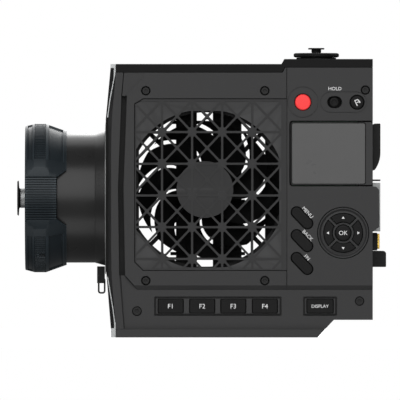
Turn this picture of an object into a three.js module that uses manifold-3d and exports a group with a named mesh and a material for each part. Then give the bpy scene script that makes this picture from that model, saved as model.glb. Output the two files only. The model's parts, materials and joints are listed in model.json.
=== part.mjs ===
// Box-style digital cinema camera with a through-flow cooling duct.
// Millimetres. X runs from the lens (-X) to the battery end (+X), Y runs from the
// control side (-Y) to the plain side (+Y), and Z is up. The origin is on the base's
// flat underside, at the middle of the body.

import * as THREE from 'three';
import { mergeVertices } from 'three/addons/utils/BufferGeometryUtils.js';
import Module from 'manifold-3d';

const wasm = await Module();
wasm.setup();

// ---------------------------------------------------------------- driving dimensions

const seam = 0.1;                 // between flat faces that rest on each other
const gap = 0.3;                  // around pieces that are let into others

const halfLength = 64.25;         // body, without the mount and the battery end
const halfWidth = 56;
const frontHeight = 136.75;
const rearHeight = 139.25;
const stepX = 18.65;              // where the top steps up
const plateThickness = 4.15;      // base and top plates
const tailX = 44.8;               // where the raised underside of the tail starts
const tailZ = 8.8;
const lensZ = 69.7;               // height of the lens axis

const coverThickness = 4;
const coverInnerY = halfWidth - coverThickness;
const frameHalfWidth = coverInnerY - gap;
const lowerPanelY = 54.2;         // the lower panel lies behind the covers' face
const coverFloorZ = 24;
const coverTopFront = frontHeight - plateThickness - seam;
const coverTopRear = rearHeight - plateThickness - seam;
const panelSeamX = 21.3;
const inlayThickness = 0.45;
const frontCoverX = -69.3;

const ductLeft = -56.6;           // cooling duct through the body
const ductRight = 19.6;
const ductFloor = 32;
const ductRoof = 117.5;
const bayLeft = 23;               // electronics bay
const bayRight = 57.5;
const bayFloor = 28;
const bayRoof = 130;

const fanX = -19.3;
const fanZ = 74.1;
const apertureRadius = 40.2;
const apertureLeft = -54.3;
const apertureRight = 17.5;
const apertureFloor = 35;
const apertureRoof = 113.3;
const hubRadius = 14.2;
const bladeCount = 9;

const latticeStartX = -56.2;
const latticeStartZ = 39.3;
const latticePitchX = 15.05;
const latticePitchZ = 15.86;
const strutWidth = 1.05;
const grilleThickness = 2.6;

const barrelRadius = 32.45;
const throatRadius = 27;
const noseRadius = 28.7;           // front end of the tube, inside the lock ring
const ringInnerRadius = 29.8;
const skirtClearance = 0.75;       // between the lock ring's lobes and the tube
const ringFrontX = -110;
const ringCoreRearX = -94.2;      // the lobes reach further back than the core
const ringRearX = -89.2;
const flangeFaceX = -104.2;       // the seat that a lens rests on
const capRadius = 25.8;            // dust plug in the throat
const capFrontX = -109.6;
const capRearX = -103.2;
const mountSegments = 36;

const keyCentreZ = 15.65;
const keyWidth = 12.55;
const keyHeight = 7.05;
const functionKeyX = [-36.8, -21.05, -5.5, 10.3];
const displayKeyX = 37.9;

const recordX = 29.3;
const switchRowZ = 117.65;
const markerX = 56.4;
const markerZ = 117.6;
const padX = 49.45;
const padZ = 52.3;

const studX = 36.35;

// ---------------------------------------------------------------- materials

const finish = {
  side: { color: '#3f3f3f', roughness: 0.6, metalness: 0.2 },
  black: { color: '#232323', roughness: 0.55, metalness: 0.2 },
  silver: { color: '#c4c6c6', roughness: 0.35, metalness: 0.9 },
  barrel: { color: '#2c2c2c', roughness: 0.32, metalness: 0.5 },
  ring: { color: '#25292c', roughness: 0.42, metalness: 0.5 },
  rubber: { color: '#1d1d1d', roughness: 0.7, metalness: 0 },
  key: { color: '#1f1f1f', roughness: 0.5, metalness: 0 },
  fan: { color: '#161616', roughness: 0.5, metalness: 0 },
  red: { color: '#fa4141', roughness: 0.4, metalness: 0 },
  screen: { color: '#5a5a5a', roughness: 0.25, metalness: 0 },
  glass: { color: '#7f8fa0', roughness: 0.05, metalness: 0 },
  board: { color: '#184a30', roughness: 0.5, metalness: 0.1 },
  gold: { color: '#c9a227', roughness: 0.3, metalness: 1 },
  heat: { color: '#0e0e0e', roughness: 0.6, metalness: 0.4 },
  steel: { color: '#4a4a4a', roughness: 0.35, metalness: 0.9 },
};

const camera = new THREE.Group();

function addPart(name, geometry, look) {
  const mesh = new THREE.Mesh(geometry, new THREE.MeshStandardMaterial(finish[look]));
  mesh.name = name;
  camera.add(mesh);
}

// ---------------------------------------------------------------- solids

function toSolid(geometry) {
  geometry.deleteAttribute('normal');
  geometry.deleteAttribute('uv');
  const merged = mergeVertices(geometry, 1e-4);
  return new wasm.Manifold(new wasm.Mesh({
    numProp: 3,
    vertProperties: new Float32Array(merged.attributes.position.array),
    triVerts: new Uint32Array(merged.index.array),
  }));
}

function toGeometry(solid) {
  const mesh = solid.getMesh();
  const geometry = new THREE.BufferGeometry();
  geometry.setAttribute('position', new THREE.BufferAttribute(mesh.vertProperties, 3));
  geometry.setIndex(new THREE.BufferAttribute(mesh.triVerts, 1));
  return geometry;
}

function outline(points) {
  return new THREE.Shape(points.map(([across, up]) => new THREE.Vector2(across, up)));
}

function rectangle(left, right, bottom, top, radius = 0) {
  if (radius === 0) return outline([[left, bottom], [right, bottom], [right, top], [left, top]]);
  const shape = new THREE.Shape();
  shape.absarc(right - radius, bottom + radius, radius, -Math.PI / 2, 0);
  shape.absarc(right - radius, top - radius, radius, 0, Math.PI / 2);
  shape.absarc(left + radius, top - radius, radius, Math.PI / 2, Math.PI);
  shape.absarc(left + radius, bottom + radius, radius, Math.PI, 1.5 * Math.PI);
  return shape;
}

function circle(acrossCentre, upCentre, radius) {
  const shape = new THREE.Shape();
  shape.absarc(acrossCentre, upCentre, radius, 0, 2 * Math.PI);
  return shape;
}

function pill(acrossCentre, upCentre, length, width, angle = 0) {
  const reach = (length - width) / 2;
  const along = [Math.cos(angle) * reach, Math.sin(angle) * reach];
  const quarter = Math.PI / 2;
  const shape = new THREE.Shape();
  shape.absarc(acrossCentre + along[0], upCentre + along[1], width / 2, angle - quarter, angle + quarter);
  shape.absarc(acrossCentre - along[0], upCentre - along[1], width / 2, angle + quarter, angle + 3 * quarter);
  return shape;
}

function extrude(shape, depth, curveSegments) {
  return new THREE.ExtrudeGeometry(shape, { depth, curveSegments, bevelEnabled: false });
}

// A shape drawn in X and Z, from yLow to yHigh.
function alongY(shape, yLow, yHigh, curveSegments = 8) {
  const geometry = extrude(shape, yHigh - yLow, curveSegments);
  geometry.rotateX(Math.PI / 2);
  geometry.translate(0, yHigh, 0);
  return toSolid(geometry);
}

// A shape drawn in Y and Z, from xLow to xHigh.
function alongX(shape, xLow, xHigh, curveSegments = 8) {
  const geometry = extrude(shape, xHigh - xLow, curveSegments);
  geometry.applyMatrix4(new THREE.Matrix4().set(0, 0, 1, xLow, 1, 0, 0, 0, 0, 1, 0, 0, 0, 0, 0, 1));
  return toSolid(geometry);
}

// A shape drawn in X and Y, from zLow to zHigh.
function alongZ(shape, zLow, zHigh, curveSegments = 8) {
  const geometry = extrude(shape, zHigh - zLow, curveSegments);
  geometry.translate(0, 0, zLow);
  return toSolid(geometry);
}

function block(xLow, xHigh, yLow, yHigh, zLow, zHigh) {
  const geometry = new THREE.BoxGeometry(xHigh - xLow, yHigh - yLow, zHigh - zLow);
  geometry.translate((xLow + xHigh) / 2, (yLow + yHigh) / 2, (zLow + zHigh) / 2);
  return toSolid(geometry);
}

// A turned piece: profile points are [radius, station] with the station rising, and the
// first and last points are closed onto the axis or onto each other.
function turned(profile, axis, centre, segments) {
  const points = profile.map(([radius, station]) => new THREE.Vector2(radius, station));
  const geometry = new THREE.LatheGeometry(points, segments);
  if (axis === 'x') geometry.rotateZ(-Math.PI / 2);
  if (axis === 'z') geometry.rotateX(Math.PI / 2);
  geometry.translate(...centre);
  return toSolid(geometry);
}

// ---------------------------------------------------------------- outlines of the body

// Front edge of the front strip, from top to bottom: it bulges forward beside the lens.
const stripFront = [[-halfLength, coverTopFront], [-65.1, 122], [-65.8, 115], [-66.4, 104], [-66.6, 95],
  [-66.6, 45], [-66.4, 33], [-65.7, 22], [-65.1, 15], [-64.5, 10], [-halfLength, 7],
  [-halfLength, plateThickness + seam]];

// Front face of the bright inlay, from top to bottom, moved back by an offset.
function inlayFront(offset) {
  return [[-65.3 + offset, 130], [-67.45 + offset, 118.7], [-68.6 + offset, 110], [-68.6 + offset, 30.4],
    [-67.3 + offset, 22.5], [-66.05 + offset, 15], [-65.2 + offset, 8.9]];
}

// Rear edge of the front strip, from top to bottom.
const stripRear = [[-60.5, coverTopFront], [-61.5, 120.8], [-63.2, 75], [-62.6, 31]];

// Front edge of the side covers, from top to bottom.
const coverFront = [[-60.1, coverTopFront], [-61.1, 120.8], [-58.8, 120.8], [-60.5, 75],
  [-59.7, 31], [-53.4, coverFloorZ]];

function chassisOutline() {
  const floor = plateThickness + seam;
  return outline([
    [-halfLength, coverTopFront], ...inlayFront(inlayThickness + seam), [-halfLength, 7],
    [-halfLength, floor],
    [36.5 + floor * (tailX - 36.5) / tailZ, floor], [tailX, tailZ], [halfLength, tailZ],
    [halfLength, coverFloorZ - seam], [60, coverFloorZ - seam], [60, coverTopRear],
    [20.5, coverTopRear], [19.1, coverTopFront],
  ]);
}

function lowerPanelOutline() {
  const floor = plateThickness + seam;
  return outline([
    [-63, 31], [-60, 31], [-53.6, coverFloorZ - seam], [halfLength, coverFloorZ - seam],
    [halfLength, tailZ], [tailX, tailZ], [36.5 + floor * (tailX - 36.5) / tailZ, floor], [-63, floor],
  ]);
}

// ---------------------------------------------------------------- body

function keyPocket(centreX, width, yDeep) {
  return alongY(rectangle(centreX - width / 2 - gap, centreX + width / 2 + gap,
    keyCentreZ - keyHeight / 2 - gap, keyCentreZ + keyHeight / 2 + gap), -halfWidth, yDeep);
}

function barRecess(left, right) {
  return alongY(rectangle(left, right, 10.85, 20.45, 0.6), -halfWidth, -lowerPanelY + 1.3);
}

const functionBar = [-45.1, 18.65];
const displayBar = [29.4, 46.4];

function makeChassis() {
  let solid = alongY(chassisOutline(), -frameHalfWidth, frameHalfWidth);
  const strip = outline([...stripFront, [-60.2, plateThickness + seam], ...stripRear.slice().reverse()]);
  solid = solid.add(alongY(strip, -halfWidth, halfWidth));
  solid = solid.add(alongY(lowerPanelOutline(), -lowerPanelY, lowerPanelY));
  solid = solid.subtract(block(ductLeft, ductRight, -70, 70, ductFloor, ductRoof));
  solid = solid.subtract(block(bayLeft, bayRight, -70, 70, bayFloor, bayRoof));
  solid = solid.subtract(block(bayLeft, 61, -frameHalfWidth - 0.2, -49, bayFloor, bayRoof));
  solid = solid.subtract(alongX(circle(0, lensZ, 30.4), -70, ductLeft + 1, 14));
  for (const [left, right] of [functionBar, displayBar]) solid = solid.subtract(barRecess(left, right));
  for (const x of functionKeyX) solid = solid.subtract(keyPocket(x, keyWidth, -49.8));
  solid = solid.subtract(keyPocket(displayKeyX, keyWidth + 0.65, -49.8));
  for (const [x, z, radius] of [[-53.7, 13.15, 2.5], [57.65, 18.2, 2.4]]) {
    solid = solid.subtract(alongY(circle(x, z, radius), -halfWidth, -lowerPanelY + 1.2));
    solid = solid.subtract(alongY(circle(x, z, radius), lowerPanelY - 1.2, halfWidth));
  }
  return toGeometry(solid);
}

function makeTopPlate() {
  const shape = outline([[-halfLength, frontHeight - plateThickness], [18.9, frontHeight - plateThickness],
    [20.3, rearHeight - plateThickness], [halfLength, rearHeight - plateThickness],
    [halfLength, rearHeight], [stepX + 1.35, rearHeight], [stepX, frontHeight], [-halfLength, frontHeight]]);
  let solid = alongY(shape, -halfWidth, halfWidth);
  for (const x of [-46, -10]) {
    for (const y of [-22, 22]) solid = solid.subtract(alongZ(circle(x, y, 2.5), frontHeight - 3.5, 150));
  }
  for (const y of [-12, 12]) solid = solid.subtract(alongZ(circle(-28, y, 3.2), frontHeight - 3.5, 150));
  return toGeometry(solid);
}

function makeBasePlate() {
  const chamferX = 36.5 + plateThickness * (tailX - 36.5) / tailZ;
  const shape = outline([[-halfLength, 0], [36.5, 0], [chamferX, plateThickness],
    [-halfLength, plateThickness]]);
  let solid = alongY(shape, -halfWidth, halfWidth);
  solid = solid.subtract(alongZ(circle(-20, 0, 3.2), -1, 3.4));
  solid = solid.subtract(alongZ(circle(16, 0, 4.8), -1, 3.4));
  solid = solid.subtract(alongZ(circle(-32, 0, 2.3), -1, 3.4));
  return toGeometry(solid);
}

function makeRearPlate() {
  let solid = block(60.1, halfLength, -coverInnerY + gap, coverInnerY - gap, coverFloorZ, coverTopRear);
  solid = solid.subtract(block(58, 70, -30, 30, 88, 103));
  return toGeometry(solid.subtract(block(58, 61.2, -60, -49.4, 112, 123)));
}

// A silver plate behind the black cover: it shows as a thin bright edge with a block at each end.
function makeFrontInlay() {
  const rearX = -halfLength - seam;
  const shape = outline([
    [rearX, frontHeight], [-66.9, frontHeight], [-67, 134.75], [-65.15, 134.75], ...inlayFront(0),
    [-65.05, 4.6], [-66.8, 4.6], [-66.7, 0], [rearX, 0], [rearX, 7],
    ...inlayFront(inlayThickness).reverse(), [rearX, 133],
  ]);
  const plate = alongY(shape, -halfWidth + 0.6, halfWidth - 0.6);
  return toGeometry(plate.subtract(alongX(circle(0, lensZ, 30.4), -80, -60, 16)));
}

function makeFrontCover() {
  const shape = outline([[-66.9, 134.65], [frontCoverX, 109], [frontCoverX, 36], [-66.75, 4.7], [-65.2, 4.7],
    ...inlayFront(-seam).reverse(), [-65.3, 134.65]]);
  const plate = alongY(shape, -halfWidth + 1, halfWidth - 1);
  return toGeometry(plate.subtract(alongX(circle(0, lensZ, 30.4), -80, -60, 16)));
}

// ---------------------------------------------------------------- side covers

// A bevel along the bottom edge of a cover, from the cover's face down to the lower panel.
function lowerBevel(side) {
  const depth = halfWidth - lowerPanelY + seam;
  const faceY = side * halfWidth;
  const shape = outline([[faceY, coverFloorZ - 1], [faceY, coverFloorZ + 2.05],
    [faceY - side * depth, coverFloorZ], [faceY - side * depth, coverFloorZ - 1]]);
  return alongX(shape, -70, 80);
}

// The cover's face is a little lower above its top front corner.
function loweredCorner(side) {
  const faceY = side * halfWidth;
  const inner = side * (halfWidth - 0.7);
  return alongY(outline([[-64, 116.5], [-50.3, 130], [-50.3, 134], [-64, 134]]),
    Math.min(faceY, inner), Math.max(faceY, inner));
}

function sideCoverOutline(rightEdge) {
  return outline([...coverFront, [rightEdge, coverFloorZ],
    [rightEdge, rightEdge > stepX ? coverTopRear : coverTopFront],
    ...(rightEdge > stepX ? [[20.5, coverTopRear], [19.1, coverTopFront]] : [])]);
}

function grillePocket(side, rightEdge) {
  const shape = outline([[-54.9, 37.6], [-50.6, 33.35], [rightEdge, 33.35], [rightEdge, 119.45],
    [-50.6, 119.45], [-54.9, 116.9]]);
  return alongY(shape, side < 0 ? -60 : 50, side < 0 ? -50 : 60);
}

const coverScrews = [[-49.25, 123.35], [10.25, 123.35], [-49.25, 28.4], [10.25, 28.4]];
const screwRadius = 2;

function makeFanSideCover() {
  let solid = alongY(sideCoverOutline(panelSeamX - seam), -halfWidth, -coverInnerY);
  solid = solid.subtract(grillePocket(-1, panelSeamX + 1));
  solid = solid.subtract(lowerBevel(-1)).subtract(loweredCorner(-1));
  for (const [x, z] of coverScrews) {
    solid = solid.subtract(alongY(circle(x, z, screwRadius + gap), -60, -54.2, 6));
  }
  return toGeometry(solid);
}

function makeRightCover() {
  let solid = alongY(sideCoverOutline(halfLength), coverInnerY, halfWidth);
  solid = solid.subtract(grillePocket(1, panelSeamX));
  solid = solid.subtract(lowerBevel(1)).subtract(loweredCorner(1));
  for (const [x, z] of coverScrews) {
    solid = solid.subtract(alongY(circle(x, z, screwRadius + gap), 54.2, 60, 6));
  }
  return toGeometry(solid);
}

function makeControlPanel() {
  const bulge = new THREE.Shape();
  bulge.moveTo(panelSeamX, coverFloorZ);
  bulge.lineTo(halfLength, coverFloorZ);
  bulge.lineTo(halfLength, 53.1);
  bulge.lineTo(67.45, 55.2);
  bulge.absarc(64.75, 72.95, 2.7, 0, Math.PI / 2);
  bulge.lineTo(halfLength, 75.65);
  bulge.lineTo(halfLength, coverTopRear);
  bulge.lineTo(panelSeamX, coverTopRear);
  let solid = alongY(bulge, -halfWidth, -coverInnerY, 5);
  const throughHoles = [
    [circle(recordX, switchRowZ, 4.25), 7], [circle(markerX, markerZ, 3.7), 6],
    [pill(45.15, switchRowZ, 7.3, 5.9), 6], [circle(padX, padZ, 12.9), 10],
    ...sideKeys.map(({ z }) => [pill(28.85, z, 13.6, 5.9, sideKeyAngle), 6]),
  ];
  for (const [shape, segments] of throughHoles) solid = solid.subtract(alongY(shape, -60, -50, segments));
  const screenPocket = rectangle(22.6, 76, 75.6, 108.3, 1.8);
  solid = solid.subtract(alongY(screenPocket, -60, -53, 4));
  solid = solid.subtract(alongY(circle(60.55, 123.7, 1.95 + gap), -60, -54.4, 6));
  solid = solid.subtract(lowerBevel(-1));
  return toGeometry(solid);
}

// ---------------------------------------------------------------- grilles

function apertureOutline() {
  const shape = new THREE.Shape();
  const points = [];
  for (let step = 0; step < 40; step += 1) {
    const angle = step * Math.PI / 20;
    const x = fanX + apertureRadius * Math.cos(angle);
    const z = fanZ + apertureRadius * Math.sin(angle);
    points.push(new THREE.Vector2(Math.min(Math.max(x, apertureLeft), apertureRight),
      Math.min(Math.max(z, apertureFloor), apertureRoof)));
  }
  shape.setFromPoints(points);
  return shape;
}

// One triangle of the lattice, drawn in from its three sides by half a strut.
function shrunkTriangle(corners, inset) {
  const [a, b, c] = corners.map(([x, z]) => new THREE.Vector2(x, z));
  const sides = [b.distanceTo(c), c.distanceTo(a), a.distanceTo(b)];
  const perimeter = sides[0] + sides[1] + sides[2];
  const area = Math.abs((b.x - a.x) * (c.y - a.y) - (c.x - a.x) * (b.y - a.y)) / 2;
  const inradius = 2 * area / perimeter;
  const centre = new THREE.Vector2(
    (sides[0] * a.x + sides[1] * b.x + sides[2] * c.x) / perimeter,
    (sides[0] * a.y + sides[1] * b.y + sides[2] * c.y) / perimeter);
  const scale = (inradius - inset) / inradius;
  return [a, b, c].map((corner) => {
    const moved = corner.clone().sub(centre).multiplyScalar(scale).add(centre);
    return [moved.x, moved.y];
  });
}

function latticeTriangles() {
  const triangles = [];
  for (let column = 0; column < 5; column += 1) {
    for (let row = -1; row < 5; row += 1) {
      const left = latticeStartX + column * latticePitchX;
      const bottom = latticeStartZ + row * latticePitchZ;
      triangles.push(...cellTriangles(left, bottom));
    }
  }
  return triangles;
}

function cellTriangles(left, bottom) {
  const right = left + latticePitchX;
  const top = bottom + latticePitchZ;
  const middle = [(left + right) / 2, (bottom + top) / 2];
  const corners = [[left, bottom], [right, bottom], [right, top], [left, top]];
  return corners.map((corner, index) => [corner, corners[(index + 1) % 4], middle]);
}

function makeGrille(side) {
  const outerY = side * halfWidth;
  const innerY = side * (halfWidth - grilleThickness);
  const yLow = Math.min(outerY, innerY);
  const yHigh = Math.max(outerY, innerY);
  const rightEdge = side < 0 ? panelSeamX - seam : panelSeamX - gap;
  const panel = outline([[-54.6, 37.75], [-50.5, 33.65], [rightEdge, 33.65], [rightEdge, 119.15],
    [-50.5, 119.15], [-54.6, 116.7]]);
  const openings = latticeTriangles().map((triangle) =>
    alongY(outline(shrunkTriangle(triangle, strutWidth / 2)), yLow - 1, yHigh + 1));
  let holes = wasm.Manifold.union(openings);
  holes = holes.intersect(alongY(apertureOutline(), yLow - 1, yHigh + 1));
  holes = holes.subtract(alongY(circle(fanX - 0.4, fanZ, hubRadius), yLow - 2, yHigh + 2, 12));
  return toGeometry(alongY(panel, yLow, yHigh).subtract(holes));
}

// ---------------------------------------------------------------- fan and duct

const fanFrontY = -51.6;
const fanRearY = -29;

function makeFanFrame() {
  const frame = rectangle(ductLeft + gap, ductRight - gap, ductFloor + gap, ductRoof - gap);
  let solid = alongY(frame, fanFrontY, fanRearY);
  solid = solid.subtract(alongY(apertureOutline(), -60, -20));
  const spider = [alongY(circle(fanX, fanZ, 13), fanRearY - 3, fanRearY, 10)];
  for (const angle of [45, 135, 225, 315]) {
    const arm = new THREE.BoxGeometry(31, 3, 2.2);
    arm.translate(27.5, 0, 0);
    arm.rotateY(-angle * Math.PI / 180);
    arm.translate(fanX, fanRearY - 1.5, fanZ);
    spider.push(toSolid(arm));
  }
  return toGeometry(wasm.Manifold.union([solid, ...spider]));
}

// A closed sheet with even thickness: place(u, v) gives a point for u and v from 0 to 1.
function thickSheet(place, uSteps, vSteps, thickness) {
  const positions = [];
  const indices = [];
  const columns = vSteps + 1;
  const layer = (uSteps + 1) * columns;
  for (const lift of [thickness / 2, -thickness / 2]) {
    for (let i = 0; i <= uSteps; i += 1) {
      for (let j = 0; j <= vSteps; j += 1) {
        const point = place(i / uSteps, j / vSteps);
        positions.push(point.x, point.y + lift, point.z);
      }
    }
  }
  const at = (i, j) => i * columns + j;
  for (let i = 0; i < uSteps; i += 1) {
    for (let j = 0; j < vSteps; j += 1) {
      const [near, right, far, across] = [at(i, j), at(i, j + 1), at(i + 1, j), at(i + 1, j + 1)];
      indices.push(near, right, far, far, right, across);
      indices.push(near + layer, far + layer, right + layer, far + layer, across + layer, right + layer);
    }
  }
  const rim = (a, b) => indices.push(a, b, a + layer, b, b + layer, a + layer);
  for (let i = 0; i < uSteps; i += 1) {
    rim(at(i, 0), at(i + 1, 0));
    rim(at(i + 1, vSteps), at(i, vSteps));
  }
  for (let j = 0; j < vSteps; j += 1) {
    rim(at(0, j + 1), at(0, j));
    rim(at(uSteps, j), at(uSteps, j + 1));
  }
  const geometry = new THREE.BufferGeometry();
  geometry.setAttribute('position', new THREE.Float32BufferAttribute(positions, 3));
  geometry.setIndex(indices);
  return geometry;
}

// A fan blade: swept, and pitched so that its leading edge is nearer the grille.
function makeBlade(startAngle) {
  const place = (along, across) => {
    const radius = 12.5 + along * 22;
    const sweep = 0.75 * along * along;
    const chord = 0.62 - 0.16 * along;
    const angle = startAngle + sweep + chord * (across - 0.5);
    const y = -42.5 + 13 * (across - 0.5) * (1 - 0.25 * along);
    return new THREE.Vector3(fanX + radius * Math.cos(angle), y, fanZ + radius * Math.sin(angle));
  };
  return toSolid(thickSheet(place, 3, 2, 1.3));
}

function makeFanRotor() {
  const hubProfile = [[0, -50.4], [12.4, -50.4], [13.3, -49.4], [13.3, -33.6], [0, -33.6]];
  const hub = turned(hubProfile, 'y', [fanX, 0, fanZ], 24);
  const blades = [];
  for (let index = 0; index < bladeCount; index += 1) {
    blades.push(makeBlade(index * 2 * Math.PI / bladeCount));
  }
  return toGeometry(wasm.Manifold.union([hub, ...blades]));
}

// Solid vapour chambers stand across the duct, joined by a plate above and one below.
const chambers = [[-34.2, -23.7], [-15.7, -1.3], [10.6, 19.2]];

function makeHeatSink() {
  const pieces = [
    block(-56.2, 19.2, -24, 24, ductFloor + gap, 35.2),
    block(-56.2, 19.2, -24, 24, 113.4, ductRoof - gap),
  ];
  for (const [left, right] of chambers) pieces.push(block(left, right, -24, 24, 34, 115));
  for (let fin = 0; fin < 6; fin += 1) {
    const z = 41 + fin * 13.2;
    pieces.push(block(-37, -21.5, -20, 20, z, z + 1.6), block(-17, 0.5, -20, 20, z, z + 1.6));
  }
  return toGeometry(wasm.Manifold.union(pieces));
}

// ---------------------------------------------------------------- lens mount

function makeBarrel() {
  const profile = [[throatRadius, flangeFaceX], [noseRadius, flangeFaceX], [noseRadius, ringCoreRearX + gap],
    [barrelRadius, ringCoreRearX + gap], [barrelRadius, -74.9], [33.9, -69.9],
    [30, -69.9], [30, -62.2], [throatRadius, -62.2], [throatRadius, flangeFaceX]];
  return toGeometry(turned(profile, 'x', [0, 0, lensZ], mountSegments));
}

function makeFlangeRing() {
  const front = frontCoverX - seam - 0.4;
  const rear = frontCoverX - seam;
  const profile = [[30.5, front], [38.2, front], [38.2, rear], [30.5, rear], [30.5, front]];
  return toGeometry(turned(profile, 'x', [0, 0, lensZ], mountSegments));
}

const lobeCentres = [0, 120, 240];   // degrees from the far side, so that a gap faces the control side
const lobeHalfAngle = 43;
const lobeRadius = 37.3;
const coreRadius = 36;

function lobeSector(centreDegrees) {
  const from = (centreDegrees - lobeHalfAngle) * Math.PI / 180;
  const to = (centreDegrees + lobeHalfAngle) * Math.PI / 180;
  const shape = new THREE.Shape();
  shape.moveTo(0, lensZ);
  shape.lineTo(50 * Math.cos(from), lensZ + 50 * Math.sin(from));
  shape.lineTo(60 * Math.cos((from + to) / 2), lensZ + 60 * Math.sin((from + to) / 2));
  shape.lineTo(50 * Math.cos(to), lensZ + 50 * Math.sin(to));
  return alongX(shape, -120, -80);
}

function makeLockRing() {
  const inner = ringInnerRadius;
  const skirt = barrelRadius + skirtClearance;
  const core = turned([[inner, ringFrontX], [coreRadius - 0.5, ringFrontX], [coreRadius, ringFrontX + 0.5],
    [coreRadius, ringCoreRearX], [inner, ringCoreRearX], [inner, ringFrontX]], 'x', [0, 0, lensZ], 72);
  const full = turned([[inner, ringFrontX], [coreRadius + 0.2, ringFrontX], [lobeRadius, -105.2],
    [lobeRadius, -99.6], [33.7, ringRearX], [skirt, ringRearX], [skirt, ringCoreRearX],
    [inner, ringCoreRearX], [inner, ringFrontX]], 'x', [0, 0, lensZ], 72);
  const sectors = wasm.Manifold.union(lobeCentres.map(lobeSector));
  return toGeometry(core.add(full.intersect(sectors)));
}

// A dust plug that stands a little way into the throat and leaves the lens seat free.
function makePortCap() {
  const profile = [[0, capFrontX], [capRadius, capFrontX], [capRadius, capRearX], [0, capRearX]];
  return toGeometry(turned(profile, 'x', [0, 0, lensZ], mountSegments));
}

function makeCapKnob() {
  const profile = [[0, -114.05], [8.3, -114.05], [8.75, -113.7], [8.75, -113.1], [4.75, -112.9],
    [4.75, -109.7], [0, -109.7]];
  return toGeometry(turned(profile, 'x', [0, 0, lensZ], 20));
}

const tetherX = -71.6;
const tetherPinZ = 28;
const tetherPinRadius = 0.8;
const wire = 0.9;

// A clevis with a pin across its slot.
function makeTetherPost() {
  const post = block(-73.9, -70, -3, 3, 26.9, 35.4);
  const pin = alongY(circle(tetherX, tetherPinZ, tetherPinRadius), -1.5, 1.5, 5);
  return toGeometry(post.subtract(block(-75, -69, -0.8, 0.8, 26, 30.6)).add(pin));
}

// A wire loop that hangs on the post's pin.
function makeTetherRing() {
  const halfOpening = tetherPinRadius + 0.25;
  const top = tetherPinZ + tetherPinRadius + seam;
  const shape = rectangle(tetherX - halfOpening - wire, tetherX + halfOpening + wire, 21.6, top + wire, 1.2);
  shape.holes.push(rectangle(tetherX - halfOpening, tetherX + halfOpening, 21.6 + wire, top, 0.6));
  return toGeometry(alongY(shape, -wire / 2, wire / 2, 3));
}

// ---------------------------------------------------------------- sensor

function makeSensorHousing() {
  let solid = alongX(circle(0, lensZ, 30), -60.6, -59.1, 12);
  solid = solid.add(block(-62, -59.2, -21, 21, lensZ - 16, lensZ + 16));
  return toGeometry(solid.subtract(block(-70, -61, -16.5, 16.5, lensZ - 10.5, lensZ + 10.5)));
}

function makeSensorGlass() {
  return toGeometry(block(-61.9, -61.1, -16.2, 16.2, lensZ - 10.2, lensZ + 10.2));
}

function makeSensorBoard() {
  return toGeometry(block(-58.9, -57.2, -20, 20, lensZ - 16, lensZ + 16));
}

function makeMainBoard() {
  const board = block(bayLeft + 1, bayRight - 1, -46, -44.4, bayFloor + 1, bayRoof - 1);
  const chips = [
    block(28, 44, -44.5, -42, 60, 76),
    block(30, 42, -44.5, -42.6, 88, 100),
    block(46, 54, -44.5, -42.8, 36, 50),
  ];
  return toGeometry(wasm.Manifold.union([board, ...chips]));
}

// ---------------------------------------------------------------- controls

const sideKeyAngle = -46 * Math.PI / 180;
const sideKeys = [
  { name: 'menu_button', z: 59.8 },
  { name: 'back_button', z: 48.35 },
  { name: 'fn_button', z: 37 },
];
const flangeFrontY = -frameHalfWidth;
const flangeRearY = flangeFrontY + 1.2;

// A push button: its cap stands in the panel's hole, and its wider foot stays behind the panel.
function pushButton(capShape, footShape, capY, segments) {
  const cap = alongY(capShape, capY, flangeRearY, segments);
  return toGeometry(cap.add(alongY(footShape, flangeFrontY, flangeRearY, segments)));
}

function makeHoldSwitch() {
  const knob = alongY(circle(44.95, switchRowZ, 2.4), -halfWidth - 0.4, flangeRearY, 7);
  return toGeometry(knob.add(alongY(rectangle(41.4, 48.5, 114.2, 121.1), flangeFrontY, flangeRearY)));
}

function sector(innerRadius, outerRadius, centreDegrees, spokeHalfWidth) {
  const points = [];
  const limits = (radius) => Math.PI / 4 - Math.asin(spokeHalfWidth / radius);
  for (const [radius, direction] of [[outerRadius, 1], [innerRadius, -1]]) {
    const reach = limits(radius);
    for (let step = 0; step <= 4; step += 1) {
      const angle = centreDegrees * Math.PI / 180 + direction * reach * (step / 2 - 1);
      points.push([padX + radius * Math.cos(angle), padZ + radius * Math.sin(angle)]);
    }
  }
  return outline(points);
}

function makePadBezel() {
  const profile = [[0, -55.2], [10, -55.2], [12.1, -56.3], [12.6, -56.3], [12.6, -52.1], [0, -52.1]];
  let solid = turned(profile, 'y', [padX, 0, padZ], 32);
  solid = solid.subtract(alongY(circle(padX, padZ, 4.3), -60, -50, 7));
  for (const direction of [0, 90, 180, 270]) {
    solid = solid.subtract(alongY(sector(5.2, 10, direction, 0.55), -60, -50));
  }
  return toGeometry(solid);
}

const padKeys = { right_key: 0, up_key: 90, left_key: 180, down_key: 270 };

function makePadKey(direction) {
  const cap = alongY(sector(5.5, 9.7, direction, 0.85), -56.2, flangeRearY);
  return toGeometry(cap.add(alongY(sector(5.5, 10.5, direction, 0.85), flangeFrontY, flangeRearY)));
}

function makeKeyBezel([left, right], keys, width) {
  const frame = rectangle(left + 0.5, right - 0.5, 11.35, 19.95, 0.4);
  let solid = alongY(frame, -lowerPanelY - 0.2, -lowerPanelY + 1.2, 3);
  for (const x of keys) {
    solid = solid.subtract(alongY(rectangle(x - width / 2 - gap, x + width / 2 + gap,
      keyCentreZ - keyHeight / 2 - gap, keyCentreZ + keyHeight / 2 + gap), -60, -50));
  }
  return toGeometry(solid);
}

function makeKey(x, width) {
  return toGeometry(alongY(rectangle(x - width / 2, x + width / 2, keyCentreZ - keyHeight / 2,
    keyCentreZ + keyHeight / 2, 0.6), -lowerPanelY - 0.7, -51, 3));
}

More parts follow.
